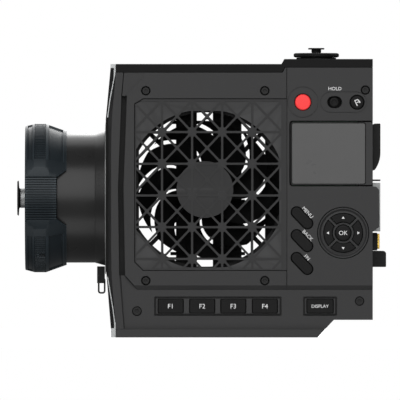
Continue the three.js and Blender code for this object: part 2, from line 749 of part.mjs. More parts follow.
function makeScreenHousing() {
  const housing = alongY(rectangle(23.2, halfLength, 76.2, 107.7, 1.3), -halfWidth, -53.1, 4);
  return toGeometry(housing.subtract(alongY(rectangle(23.6, 60.7, 76.6, 107.3, 1), -60, -54.2, 4)));
}

function makeScreenGlass() {
  return toGeometry(alongY(rectangle(23.8, 60.5, 76.8, 107.1, 0.9), -55.9, -54.3, 4));
}

function makeScrew(x, z) {
  const profile = [[0, -55.4], [screwRadius - 0.2, -55.4], [screwRadius, -55.2],
    [screwRadius, -54.3], [0, -54.3]];
  const head = turned(profile, 'y', [x, 0, z], 16);
  return toGeometry(head.subtract(alongY(circle(x, z, 1), -60, -54.8, 2)));
}

// ---------------------------------------------------------------- top stud

function makeStudBase() {
  const bottom = rearHeight + seam;
  const profile = [[3, bottom], [10, bottom], [10, 140.35], [3, 140.35], [3, bottom]];
  return toGeometry(turned(profile, 'z', [studX, 0, 0], 24));
}

function makeLockWheel() {
  const profile = [[3, 140.45], [10.9, 140.45], [11.4, 140.85], [11.4, 142.25], [10.9, 142.65],
    [3, 142.65], [3, 140.45]];
  return toGeometry(turned(profile, 'z', [studX, 0, 0], 32));
}

function makeStud() {
  const profile = [[0, rearHeight + seam], [2.6, rearHeight + seam], [2.6, 142.6], [2.45, 143.4],
    [2.45, 144.45], [4.075, 144.45], [4.075, 145.2], [0, 145.2]];
  return toGeometry(turned(profile, 'z', [studX, 0, 0], 16));
}

// ---------------------------------------------------------------- battery end

const endX = halfLength + seam;

function makeWedgeReceiver() {
  let solid = block(endX, 68.3, -24, 24, 53, 77.4);
  const notch = outline([[-9, 60], [9, 60], [15, 80], [-15, 80]]);
  solid = solid.subtract(alongX(notch, 65.6, 75));
  return toGeometry(solid);
}

function makeGuidePlate() {
  return toGeometry(block(endX, 68.4, -22, 22, 78.3, 79.05));
}

function makeContactBlock() {
  return toGeometry(block(endX, 66.9, -14, 14, 43.4, 52.3));
}

function makeContactBlades() {
  const pieces = [block(67, 67.5, -12, 12, 44.2, 46)];
  for (const y of [-10, -5, 0, 5, 10]) pieces.push(block(67, 68.1, y - 0.7, y + 0.7, 44.2, 51.8));
  return toGeometry(wasm.Manifold.union(pieces));
}

function makeBatteryLatch() {
  const shape = new THREE.Shape();
  shape.moveTo(endX, 35.1);
  shape.lineTo(71.35, 35.1);
  shape.absarc(69.85, 41.7, 1.5, 0, Math.PI / 2);
  shape.lineTo(endX, 43.2);
  return toGeometry(alongY(shape, -13, 13, 5));
}

// A flap hinged along its top edge, whose inner corner is cut back so that it can turn.
function makePortCover() {
  const shape = new THREE.Shape();
  shape.moveTo(endX + 0.9, 107.1);
  shape.lineTo(endX, 106.2);
  shape.lineTo(endX, 83.6);
  shape.absarc(53.5, 92.5, 14.8, -0.64, 0);
  shape.lineTo(68.3, 107.1);
  return toGeometry(alongY(shape, -34, 34, 5));
}

function makeSocketBlock() {
  let solid = block(60.4, 64.1, -29.7, 29.7, 88.3, 102.7);
  for (const y of [-21, -7, 7, 21]) solid = solid.subtract(block(61.6, 70, y - 5, y + 5, 92, 99));
  return toGeometry(solid);
}

// ---------------------------------------------------------------- assembly

addPart('chassis', makeChassis(), 'side');
addPart('top_plate', makeTopPlate(), 'black');
addPart('base_plate', makeBasePlate(), 'side');
addPart('rear_plate', makeRearPlate(), 'black');
addPart('front_inlay_plate', makeFrontInlay(), 'silver');
addPart('front_cover', makeFrontCover(), 'black');
addPart('fan_side_cover', makeFanSideCover(), 'side');
addPart('control_panel', makeControlPanel(), 'side');
addPart('right_cover', makeRightCover(), 'side');
addPart('left_grille', makeGrille(-1), 'side');
addPart('right_grille', makeGrille(1), 'side');

addPart('fan_frame', makeFanFrame(), 'fan');
addPart('fan_rotor', makeFanRotor(), 'fan');
addPart('heat_sink', makeHeatSink(), 'heat');

addPart('lens_barrel', makeBarrel(), 'barrel');
addPart('flange_ring', makeFlangeRing(), 'silver');
addPart('lens_lock_ring', makeLockRing(), 'ring');
addPart('port_cap', makePortCap(), 'rubber');
addPart('port_cap_knob', makeCapKnob(), 'rubber');
addPart('tether_post', makeTetherPost(), 'rubber');
addPart('tether_ring', makeTetherRing(), 'steel');

addPart('sensor_housing', makeSensorHousing(), 'heat');
addPart('sensor_glass', makeSensorGlass(), 'glass');
addPart('sensor_board', makeSensorBoard(), 'board');
addPart('main_board', makeMainBoard(), 'board');

addPart('record_button', pushButton(circle(recordX, switchRowZ, 3.95), circle(recordX, switchRowZ, 4.9),
  -halfWidth - 0.7, 8), 'red');
addPart('hold_switch', makeHoldSwitch(), 'key');
addPart('marker_button', pushButton(circle(markerX, markerZ, 3.4), circle(markerX, markerZ, 4.1),
  -halfWidth - 0.3, 7), 'key');
for (const { name, z } of sideKeys) {
  addPart(name, pushButton(pill(28.85, z, 13, 5.3, sideKeyAngle), pill(28.85, z, 14, 6.4, sideKeyAngle),
    -halfWidth - 0.4, 6), 'key');
}
addPart('pad_bezel', makePadBezel(), 'side');
for (const [name, direction] of Object.entries(padKeys)) addPart(name, makePadKey(direction), 'key');
addPart('ok_button', toGeometry(alongY(circle(padX, padZ, 4), -56.4, flangeRearY, 7)), 'key');
addPart('function_bezel', makeKeyBezel(functionBar, functionKeyX, keyWidth), 'side');
functionKeyX.forEach((x, index) => addPart(`f${index + 1}_key`, makeKey(x, keyWidth), 'key'));
addPart('display_bezel', makeKeyBezel(displayBar, [displayKeyX], keyWidth + 0.65), 'side');
addPart('display_key', makeKey(displayKeyX, keyWidth + 0.65), 'key');
addPart('screen_housing', makeScreenHousing(), 'side');
addPart('screen_glass', makeScreenGlass(), 'screen');
coverScrews.forEach(([x, z], index) => addPart(`cover_screw_${index + 1}`, makeScrew(x, z), 'steel'));

addPart('stud_base', makeStudBase(), 'black');
addPart('stud_lock_wheel', makeLockWheel(), 'black');
addPart('accessory_stud', makeStud(), 'black');

addPart('wedge_receiver', makeWedgeReceiver(), 'silver');
addPart('guide_plate', makeGuidePlate(), 'black');
addPart('contact_block', makeContactBlock(), 'rubber');
addPart('contact_blades', makeContactBlades(), 'gold');
addPart('battery_latch', makeBatteryLatch(), 'rubber');
addPart('port_cover', makePortCover(), 'rubber');
addPart('socket_block', makeSocketBlock(), 'rubber');

export default camera;
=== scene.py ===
"""Looks of a box-style digital cinema camera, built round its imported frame.

Lengths are written in millimetres and turned to metres where a mesh is made. X runs from
the lens (-X) to the battery end, the control side faces -Y, and Z is up.
"""

import json
import math

import bmesh
import bpy
from mathutils import Matrix, Vector
from mathutils.geometry import delaunay_2d_cdt


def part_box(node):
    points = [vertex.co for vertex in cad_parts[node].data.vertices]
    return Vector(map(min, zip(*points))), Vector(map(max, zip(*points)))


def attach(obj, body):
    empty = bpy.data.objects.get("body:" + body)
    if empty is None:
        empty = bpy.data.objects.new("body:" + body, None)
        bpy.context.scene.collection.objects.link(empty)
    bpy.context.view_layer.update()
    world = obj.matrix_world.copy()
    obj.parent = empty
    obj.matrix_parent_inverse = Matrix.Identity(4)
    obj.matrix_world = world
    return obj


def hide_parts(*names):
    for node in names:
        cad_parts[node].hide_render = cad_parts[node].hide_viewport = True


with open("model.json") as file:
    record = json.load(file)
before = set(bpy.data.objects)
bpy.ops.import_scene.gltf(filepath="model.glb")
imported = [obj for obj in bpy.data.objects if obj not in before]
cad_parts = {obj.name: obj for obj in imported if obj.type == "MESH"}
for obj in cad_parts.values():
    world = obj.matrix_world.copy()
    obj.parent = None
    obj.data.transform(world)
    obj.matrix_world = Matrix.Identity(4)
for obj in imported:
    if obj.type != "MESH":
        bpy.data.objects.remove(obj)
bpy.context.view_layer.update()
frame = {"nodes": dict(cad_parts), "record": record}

MM = 0.001
BODY = "camera_body"


# ---------------------------------------------------------------- places taken from the frame

def box_mm(node):
    """Lowest and highest corner of a CAD node, in millimetres."""
    low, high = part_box(node)
    return low / MM, high / MM


def middle_mm(node):
    low, high = box_mm(node)
    return (low + high) / 2


def body_of(node):
    bodies = frame["record"]["behaviour"]["bodies"]
    return next(body for body, members in bodies.items() if node in members)


side_y = box_mm("left_grille")[0].y            # outer face of the control side
lens_z = middle_mm("lens_barrel").z
lens_axis = (0, 0, lens_z)
ring_front = box_mm("lens_lock_ring")[0].x
fan_front = box_mm("fan_rotor")[0].y
fan_x, fan_z = middle_mm("fan_rotor").x, middle_mm("fan_rotor").z


# ---------------------------------------------------------------- materials

def node_tree(name):
    material = bpy.data.materials.new(name)
    material.use_nodes = True
    return material, material.node_tree, material.node_tree.nodes["Principled BSDF"]


def feed(node, values):
    """Sets a node's inputs by name or number: a socket is linked, and a colour gets its alpha."""
    for name, value in values.items():
        socket = node.inputs[name]
        if isinstance(value, bpy.types.NodeSocket):
            node.id_data.links.new(value, socket)
        else:
            socket.default_value = (*value, 1.0) if socket.type == "RGBA" else value


def add_node(tree, kind, values):
    node = tree.nodes.new(f"ShaderNode{kind}")
    feed(node, values)
    return node


def own_coordinates(tree):
    """The object's own coordinates, so that a texture stays with its piece."""
    return add_node(tree, "TexCoord", {}).outputs["Object"]


def noise(tree, scale, detail=4.0, coordinates=None):
    source = coordinates or own_coordinates(tree)
    return add_node(tree, "TexNoise", {"Scale": scale, "Detail": detail, "Vector": source}).outputs["Fac"]


def mapped(tree, value, low, high, from_low=0.3, from_high=0.7):
    values = {"Value": value, "From Min": from_low, "From Max": from_high, "To Min": low, "To Max": high}
    return add_node(tree, "MapRange", values).outputs["Result"]


def blended(tree, factor, first, second):
    """A colour between two constants, or between a link and a constant."""
    node = tree.nodes.new("ShaderNodeMix")
    node.data_type = "RGBA"
    colour_a, colour_b, colour_result = 6, 7, 2     # the colour sockets share their names with others
    feed(node, {"Factor": factor, colour_a: first, colour_b: second})
    return node.outputs[colour_result]


def scaled(colour, factor):
    return tuple(channel * factor for channel in colour)


def grey(level):
    return (level, level, level)


def surface(name, colour, roughness, metallic=0.0, grain=5000.0, grain_height=0.004, mottle=0.12,
            edge=0.0, stretch=None, specular=0.25):
    """One finish: mottled colour, uneven gloss, fine grain and, with edge, a painted highlight on sharp
    corners.
    """
    material, tree, principled = node_tree(name)
    coordinates = own_coordinates(tree)
    if stretch:
        coordinates = add_node(tree, "Mapping", {"Vector": coordinates, "Scale": stretch}).outputs["Vector"]
    broad = noise(tree, 60.0, 3.0, coordinates)
    fine = noise(tree, grain, 3.0, coordinates)
    darker, lighter = scaled(colour, 1 - mottle), scaled(colour, 1 + mottle)
    tone = blended(tree, mapped(tree, broad, 0.0, 1.0), darker, lighter)
    if edge:
        # With edge, sharp corners are painted lighter than the colour: a painted highlight where a chamfer
        # catches the light.
        pointiness = add_node(tree, "NewGeometry", {}).outputs["Pointiness"]
        painted_highlight = mapped(tree, pointiness, 0.0, edge, 0.52, 0.62)
        tone = blended(tree, painted_highlight, tone, tuple(min(1.0, channel * 4 + 0.02) for channel in colour))
    bump = add_node(tree, "Bump", {"Strength": 0.35, "Distance": grain_height * MM, "Height": fine})
    feed(principled, {"Base Color": tone, "Metallic": metallic, "Specular IOR Level": specular,
                      "Roughness": mapped(tree, broad, roughness - 0.04, roughness + 0.04),
                      "Normal": bump.outputs["Normal"]})
    return material


def filter_glass():
    material, tree, principled = node_tree("filter_glass")
    feed(principled, {"Base Color": (0.45, 0.62, 0.66), "Transmission Weight": 0.85, "Coat Weight": 0.6,
                      "Roughness": mapped(tree, noise(tree, 300.0), 0.02, 0.06)})
    return material


def circuit_board():
    """Green solder mask with lighter tracks along both axes."""
    material, tree, principled = node_tree("circuit_board")
    turned = add_node(tree, "Mapping", {"Vector": own_coordinates(tree), "Rotation": (math.pi / 2, 0, 0)})
    brick = add_node(tree, "TexBrick", {
        "Vector": turned.outputs["Vector"], "Scale": 260.0, "Mortar Size": 0.06,
        "Color1": (0.006, 0.06, 0.02), "Color2": (0.005, 0.045, 0.018), "Mortar": (0.02, 0.13, 0.05)})
    feed(principled, {"Base Color": brick.outputs["Color"],
                      "Roughness": mapped(tree, noise(tree, 900.0), 0.3, 0.45)})
    return material


FINISH = {
    "side_panel": surface("anodised_charcoal", (0.031, 0.031, 0.0315), 0.55, mottle=0.05),
    "dark_plate": surface("anodised_black", grey(0.006), 0.6, mottle=0.08, specular=0.12),
    "silver_plate": surface("clear_anodised", (0.40, 0.41, 0.41), 0.45, metallic=0.6, mottle=0.05,
                            stretch=(1, 1, 14)),
    "mount_tube": surface("satin_black_tube", grey(0.019), 0.3, mottle=0.05, grain_height=0.001),
    # edge=0.9 paints the ring's corners much lighter: a painted highlight on the lobes' chamfers.
    "lock_ring": surface("blue_black_ring", (0.012, 0.0175, 0.0215), 0.4, metallic=0.2, edge=0.9,
                         mottle=0.08),
    "moulding": surface("black_moulding", grey(0.011), 0.55, grain_height=0.010, mottle=0.1),
    "key_cap": surface("key_cap", grey(0.006), 0.55, grain_height=0.006, mottle=0.08, specular=0.15),
    "fan_plastic": surface("fan_plastic", grey(0.006), 0.5, mottle=0.2),
    "record_red": surface("record_red", (1.0, 0.055, 0.055), 0.42, mottle=0.04, grain_height=0.003),
    "screen": surface("screen_glass", grey(0.084), 0.3, grain_height=0.0, mottle=0.03),
    "optic": filter_glass(),
    "circuit": circuit_board(),
    "contact_gold": surface("contact_gold", (0.78, 0.53, 0.13), 0.28, metallic=1.0, stretch=(1, 1, 9)),
    "heat_black": surface("heat_black", grey(0.003), 0.6, mottle=0.2),
    "fastener": surface("black_fastener", grey(0.014), 0.45, metallic=0.3, mottle=0.1),
}
# The grille's field is a darker copy of the rib colour: painted shade in the recessed triangles, with a
# painted highlight on its corners.
GRILLE_RIB = surface("grille_rib", (0.028, 0.028, 0.0285), 0.6, mottle=0.05)
SHADED_GRILLE_FIELD = surface("grille_field_painted_shade", (0.023, 0.023, 0.0235), 0.6, edge=0.3, mottle=0.05)
LABEL_INK = surface("label_ink", grey(0.75), 0.6, grain_height=0.001, mottle=0.04)
FLOOR_PAINT = surface("floor_paint", grey(0.90), 0.9, grain=400.0, grain_height=0.0, mottle=0.01,
                      specular=0.1)
feed(FLOOR_PAINT.node_tree.nodes["Principled BSDF"], {"Emission Color": grey(1), "Emission Strength": 1})


# ---------------------------------------------------------------- outlines, in millimetres

def arc(across, up, radius, start, end, steps):
    return [(across + radius * math.cos(start + (end - start) * step / steps),
             up + radius * math.sin(start + (end - start) * step / steps)) for step in range(steps + 1)]


def circle(across, up, radius, steps=72):
    return arc(across, up, radius, 0, 2 * math.pi, steps)[:-1]


def rectangle(left, right, bottom, top, radius=0.0, steps=6):
    if not radius:
        return [(left, bottom), (right, bottom), (right, top), (left, top)]
    quarter = math.pi / 2
    centres = [(right - radius, bottom + radius, -quarter), (right - radius, top - radius, 0),
               (left + radius, top - radius, quarter), (left + radius, bottom + radius, 2 * quarter)]
    points = []
    for across, up, start in centres:
        points += arc(across, up, radius, start, start + quarter, steps)
    return points


def around(node, margin, radius, steps=6):
    """The rounded outline of a CAD node seen from the control side, grown by a margin."""
    low, high = box_mm(node)
    return rectangle(low.x - margin, high.x + margin, low.z - margin, high.z + margin, radius, steps)


def pill(across, up, length, width, angle=0.0, steps=20):
    reach = (length - width) / 2
    step_x, step_z = reach * math.cos(angle), reach * math.sin(angle)
    quarter = math.pi / 2
    return (arc(across + step_x, up + step_z, width / 2, angle - quarter, angle + quarter, steps)
            + arc(across - step_x, up - step_z, width / 2, angle + quarter, angle + 3 * quarter, steps))


def clipped(polygon, window):
    """The part of a polygon inside a convex window whose points run anticlockwise."""
    for index, start in enumerate(window):
        end = window[(index + 1) % len(window)]
        along = (end[0] - start[0], end[1] - start[1])

        def side(point):
            return along[0] * (point[1] - start[1]) - along[1] * (point[0] - start[0])

        kept = []
        for place, point in enumerate(polygon):
            before = polygon[place - 1]
            if (side(point) >= 0) != (side(before) >= 0):
                share = side(before) / (side(before) - side(point))
                kept.append(tuple(near + share * (far - near) for near, far in zip(before, point)))
            if side(point) >= 0:
                kept.append(point)
        polygon = kept
        if len(polygon) < 3:
            return []
    return without_short_sides(polygon)


def without_short_sides(polygon, shortest=0.15):
    """The polygon without the points that lie almost on the point before them."""
    kept = []
    for point in polygon:
        if not kept or math.dist(point, kept[-1]) > shortest:
            kept.append(point)
    while len(kept) > 2 and math.dist(kept[0], kept[-1]) <= shortest:
        kept.pop()
    return kept


def area(polygon):
    return 0.5 * abs(sum(polygon[i - 1][0] * polygon[i][1] - polygon[i][0] * polygon[i - 1][1]
                         for i in range(len(polygon))))


# ---------------------------------------------------------------- meshes

ALONG = {  # local axes of an outline, and the axis that it is thick along
    "x": Matrix(((0, 0, 1, 0), (1, 0, 0, 0), (0, 1, 0, 0), (0, 0, 0, 1))),
    "y": Matrix(((1, 0, 0, 0), (0, 0, -1, 0), (0, 1, 0, 0), (0, 0, 0, 1))),
    "z": Matrix.Identity(4),
}


def loose(name, mesh):
    obj = bpy.data.objects.new(name, mesh)
    bpy.context.scene.collection.objects.link(obj)
    return obj


def baked(obj):
    """The object's mesh with its modifiers applied; the object itself is removed."""
    graph = bpy.context.evaluated_depsgraph_get()
    mesh = bpy.data.meshes.new_from_object(obj.evaluated_get(graph))
    bpy.data.objects.remove(obj)
    return mesh


def plate_mesh(loops, low, high, axis="y", bevel=0.15, bevel_steps=2):
    """A plate with rounded edges, from a closed outline and further outlines for its holes."""
    curve = bpy.data.curves.new("outline", "CURVE")
    curve.dimensions = "2D"
    curve.fill_mode = "BOTH"
    curve.extrude = ((high - low) / 2 - bevel) * MM
    curve.bevel_depth = bevel * MM
    curve.bevel_resolution = bevel_steps
    curve.offset = -bevel * MM
    for points in loops:
        spline = curve.splines.new("POLY")
        spline.points.add(len(points) - 1)
        for place, (across, up) in zip(spline.points, points):
            place.co = (across * MM, up * MM, 0, 1)
        spline.use_cyclic_u = True
    mesh = baked(loose("outline", curve))
    centre = (low + high) / 2 * MM
    shift = {"x": (centre, 0, 0), "y": (0, centre, 0), "z": (0, 0, centre)}[axis]
    mesh.transform(Matrix.Translation(shift) @ ALONG[axis])
    return mesh


def sharp_plate(loops, first, second, axis="y"):
    """A plate with sharp edges between two depths, which come in either order."""
    return plate_mesh(loops, *sorted((first, second)), axis, bevel=0.01)


def printed(outline, y):
    """An icon as thin as print, on a face that looks to -Y."""
    return plate_mesh([outline], y - 0.02, y + 0.05, bevel=0.005, bevel_steps=0)


def lattice_mesh(loops, low, high):
    """A plate along Y whose first loop is its outline and whose others are convex holes.

    Triangles with all their corners on one hole are left out, which leaves the hole open.
    """
    bm = bmesh.new()
    owners, corners, sides = [], [], []
    for index, loop in enumerate(loops):
        start = len(corners)
        corners += loop
        owners += [index] * len(loop)
        sides += [(start + step, start + (step + 1) % len(loop)) for step in range(len(loop))]
    near = [bm.verts.new(Vector((x, low, z)) * MM) for x, z in corners]
    far = [bm.verts.new(Vector((x, high, z)) * MM) for x, z in corners]
    for first, second in sides:
        bm.faces.new((near[first], near[second], far[second], far[first]))
    inside_outline, tolerance = 1, 1e-4
    points = [Vector(corner) for corner in corners]
    result = delaunay_2d_cdt(points, sides, [], inside_outline, tolerance)
    triangles, point_origins = result[2], result[3]
    for triangle in triangles:
        origins = [point_origins[index][0] for index in triangle if point_origins[index]]
        inside_hole = len({owners[origin] for origin in origins}) == 1 and owners[origins[0]] > 0
        if len(origins) == 3 and not inside_hole:
            for vertices in (near, far):
                bm.faces.new([vertices[origin] for origin in origins])
    return solid_from(bm)


def turned_mesh(profile, axis, centre, segments=128):
    """A turned body: profile points are (radius, station); it ends on the axis or on itself."""
    on_axis = 1e-6
    bm = bmesh.new()
    rings = []
    for radius, station in profile:
        count = 1 if radius < on_axis else segments
        ring = []
        for index in range(count):
            angle = 2 * math.pi * index / segments
            across, up = radius * math.cos(angle), radius * math.sin(angle)
            point = {"x": (station, across, up), "y": (up, station, across), "z": (across, up, station)}[axis]
            ring.append(bm.verts.new((Vector(point) + Vector(centre)) * MM))
        rings.append(ring)
    closed = profile[0][0] > on_axis
    pairs = list(zip(rings, rings[1:])) + ([(rings[-1], rings[0])] if closed else [])
    for first, second in pairs:
        for index in range(segments):
            following = (index + 1) % segments
            corners = [first[index % len(first)], first[following % len(first)],
                       second[following % len(second)], second[index % len(second)]]
            unique = list(dict.fromkeys(corners))
            if len(unique) > 2:
                bm.faces.new(unique)
    return solid_from(bm)


def bridged(bm, columns):
    """Puts faces between neighbouring columns of vertices; columns and profile both close."""
    for before, after in zip(columns, columns[1:] + columns[:1]):
        for index in range(len(before)):
            following = (index + 1) % len(before)
            bm.faces.new((before[index], before[following], after[following], after[index]))


def from_bmesh(bm):
    mesh = bpy.data.meshes.new("made")
    bm.to_mesh(mesh)
    bm.free()
    return mesh


def solid_from(bm):
    """The mesh of a closed body, with its faces turned outwards."""
    bmesh.ops.recalc_face_normals(bm, faces=bm.faces)
    return from_bmesh(bm)


def bend(start, corner, end, steps):
    """Points of a curve from start to end that is drawn towards a corner."""
    points = []
    for step in range(steps + 1):
        share = step / steps
        point = start * (1 - share) ** 2 + corner * 2 * share * (1 - share) + end * share ** 2
        points.append((point.x, point.y))
    return points


def eased(profile, radius, steps=3):
    """A profile with its corners rounded; the first and last points stay."""
    result = [profile[0]]
    for before, corner, after in zip(profile, profile[1:], profile[2:]):
        corner_point = Vector(corner)
        to_before, to_after = Vector(before) - corner_point, Vector(after) - corner_point
        cut = min(radius, to_before.length * 0.45, to_after.length * 0.45)
        start = corner_point + to_before.normalized() * cut
        end = corner_point + to_after.normalized() * cut
        result += bend(start, corner_point, end, steps)
    return result + [profile[-1]]


def block_mesh(low, high, bevel):
    """A box between its lowest and its highest corner, with its edges rounded."""
    outline = rectangle(low[0], high[0], low[1], high[1], bevel)
    return plate_mesh([outline], low[2], high[2], "z", bevel)


def joined(meshes):
    """Several meshes as one, with nothing welded or cut."""
    bm = bmesh.new()
    for mesh in meshes:
        bm.from_mesh(mesh)
    return from_bmesh(bm)


def carved(mesh, cutters):
    """The mesh with each cutter mesh taken away from it."""
    obj = loose("carved", mesh)
    tools = [loose("cutter", cutter) for cutter in cutters]
    for tool in tools:
        cut = obj.modifiers.new("cut", "BOOLEAN")
        cut.operation = "DIFFERENCE"
        cut.solver = "EXACT"
        cut.object = tool
    result = baked(obj)
    for tool in tools:
        bpy.data.objects.remove(tool)
    return result


def softened(mesh, width, segments=2):
    """A faceted body welded, with its flat faces merged and its edges rounded."""
    obj = loose("softened", mesh)
    weld = obj.modifiers.new("weld", "WELD")
    weld.merge_threshold = 0.001 * MM
    flatten = obj.modifiers.new("flatten", "DECIMATE")
    flatten.decimate_type = "DISSOLVE"
    flatten.angle_limit = math.radians(0.6)
    bevel = obj.modifiers.new("bevel", "BEVEL")
    bevel.width = width * MM
    bevel.segments = segments
    bevel.limit_method = "ANGLE"
    bevel.angle_limit = math.radians(28)
    return baked(obj)


def cad_copy(node):
    """A CAD node's mesh, with its triangles joined along their shared edges."""
    bm = bmesh.new()
    bm.from_mesh(frame["nodes"][node].data)
    bmesh.ops.remove_doubles(bm, verts=bm.verts, dist=0.0005 * MM)
    return from_bmesh(bm)


def smooth(mesh, degrees):
    """Shades the mesh smooth, except along edges that turn by more than so many degrees."""
    mesh.polygons.foreach_set("use_smooth", [True] * len(mesh.polygons))
    bm = bmesh.new()
    bm.from_mesh(mesh)
    for edge in bm.edges:
        if len(edge.link_faces) == 2:
            edge.smooth = edge.calc_face_angle(0) < math.radians(degrees)
    bm.to_mesh(mesh)
    bm.free()


FLAT_LIMIT, ROUND_LIMIT = 10, 32     # degrees: the sharpest edge that is shaded smooth


def piece(name, mesh, slot, body=BODY, replaces=(), material=None, flat=False):
    """Places a finished mesh under its body, with the given material or else its slot's finish, and hides the
    nodes it stands for.
    """
    smooth(mesh, FLAT_LIMIT if flat else ROUND_LIMIT)
    mesh.materials.clear()
    mesh.materials.append(material or FINISH[slot])
    obj = loose(name, mesh)
    normals = obj.modifiers.new("normals", "WEIGHTED_NORMAL")
    normals.keep_sharp = True
    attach(obj, body)
    if replaces:
        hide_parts(*replaces)
    return obj


def label(name, text, size, across, up, y, angle=0.0, body=BODY, slot="key_cap"):
    """Plain lettering a few hundredths of a millimetre proud of the face it is printed on."""
    curve = bpy.data.curves.new(name, "FONT")
    curve.body = text
    curve.size = size * MM
    curve.align_x = "CENTER"
    curve.align_y = "CENTER"
    curve.extrude = 0.02 * MM
    curve.resolution_u = 4
    mesh = baked(loose(name, curve))
    low = min(vertex.co.y for vertex in mesh.vertices)
    high = max(vertex.co.y for vertex in mesh.vertices)
    mesh.transform(Matrix.Translation((0, -(low + high) / 2, 0)))
    turn = Matrix.Rotation(angle, 4, "Z")
    mesh.transform(Matrix.Translation((across * MM, y * MM, up * MM)) @ ALONG["y"] @ turn)
    return piece(name, mesh, slot, body, material=LABEL_INK)


# ---------------------------------------------------------------- covers, panels and plates

def screw(name, across, up, y_face, radius, replaces=()):
    """A socket head screw that faces the side its y_face lies on."""
    side = -1 if y_face < 0 else 1
    height, socket_depth = 1.1, 0.65
    edge = eased([(radius - 0.35, 0), (radius, 0.3), (radius, height)], 0.15)
    profile = [(0, 0)] + [(away, side * -depth) for away, depth in edge] + [(0, side * -height)]
    head = turned_mesh(profile, "y", (across, y_face, up), 48)
    depths = sorted((y_face - side * socket_depth, y_face + side * 0.5))
    socket = plate_mesh([circle(across, up, radius * 0.5, 6)], *depths, bevel=0.02)
    piece(name, carved(head, [socket]), "fastener", replaces=replaces)


cover_inner_y = box_mm("fan_side_cover")[1].y
cover_floor = box_mm("fan_side_cover")[0].z
panel_seam = box_mm("fan_side_cover")[1].x
rear_top = box_mm("fan_side_cover")[1].z
front_top = rear_top - 2.5
SEAM = 0.3                                      # gap between the outer panels
PANEL_EDGE = 0.3                                # how far their edges are rounded
LOWER_FACE = 54.05                              # distance of the lower panels from the middle
PANEL_SCREW = (60.55, 123.7)                    # the control panel's own screw
SIDE_KEY_LEAN = math.radians(-46)
grille_left = box_mm("left_grille")[0].x - SEAM
screw_spots = [middle_mm(f"cover_screw_{number}") for number in range(1, 5)]


def cover_outline(rear_edge):
    """A cover's outline, set back beside the lens to leave a dark groove, with a step at its top."""
    front_edge = [(-60.1, front_top), (-61.1, 120.8), (-58.8, 120.8), (-60.5, 75), (-59.7, 31),
                  (-53.4, cover_floor)]
    return front_edge + rear_edge + [(20.5, rear_top), (19.1, front_top)]


def bottom_bevel(side):
    """What is cut from a cover's lower edge: a slope from its face down to the lower panel."""
    face, inner = side * -side_y, side * LOWER_FACE
    outline = [(face + side, cover_floor - 1), (face + side, cover_floor + 3.1), (face, cover_floor + 2.05),
               (inner, cover_floor), (inner, cover_floor - 1)]
    return sharp_plate([outline], -70, 80, "x")


def lowered_corner(side):
    """What is cut from a cover's face above its front corner."""
    corner = [(-64, 116.5), (-50.3, 130), (-50.3, 136), (-64, 136)]
    return sharp_plate([corner], side * (-side_y - 0.5), side * (-side_y + 1))


def grille_edge(right):
    """The edge of a grille's opening, from its lower right corner to its upper right one."""
    bottom, top, cut_x = 33.35, 119.45, -50.6
    return [(right, bottom), (cut_x, bottom), (grille_left, 37.6), (grille_left, 116.9), (cut_x, top),
            (right, top)]


def make_covers():
    """The fan-side cover, the plain cover opposite, and the control panel with its engraved outlines."""
    rear_edge = [(panel_seam, cover_floor)] + grille_edge(panel_seam) + [(panel_seam, rear_top)]
    holes = [circle(spot.x, spot.z, 2.3, 48) for spot in screw_spots]
    cover = plate_mesh([cover_outline(rear_edge)] + holes, side_y, cover_inner_y, bevel=PANEL_EDGE)
    piece("fan_side_cover_shell", carved(cover, [bottom_bevel(-1), lowered_corner(-1)]), "side_panel",
          replaces=["fan_side_cover"], flat=True)

    low, high = box_mm("right_cover")
    outline = cover_outline([(high.x, cover_floor), (high.x, rear_top)])
    opening = grille_edge(box_mm("right_grille")[1].x + SEAM)
    cover = plate_mesh([outline, opening] + holes, low.y, high.y, bevel=PANEL_EDGE)
    cutters = [bottom_bevel(1), lowered_corner(1)]
    for bottom, top in ((120, 140), (20, 33)):
        seam_line = rectangle(panel_seam, panel_seam + SEAM, bottom, top)
        cutters.append(sharp_plate([seam_line], high.y - 0.3, high.y + 1))
    piece("right_cover_shell", carved(cover, cutters), "side_panel", replaces=["right_cover"], flat=True)
    make_control_panel()


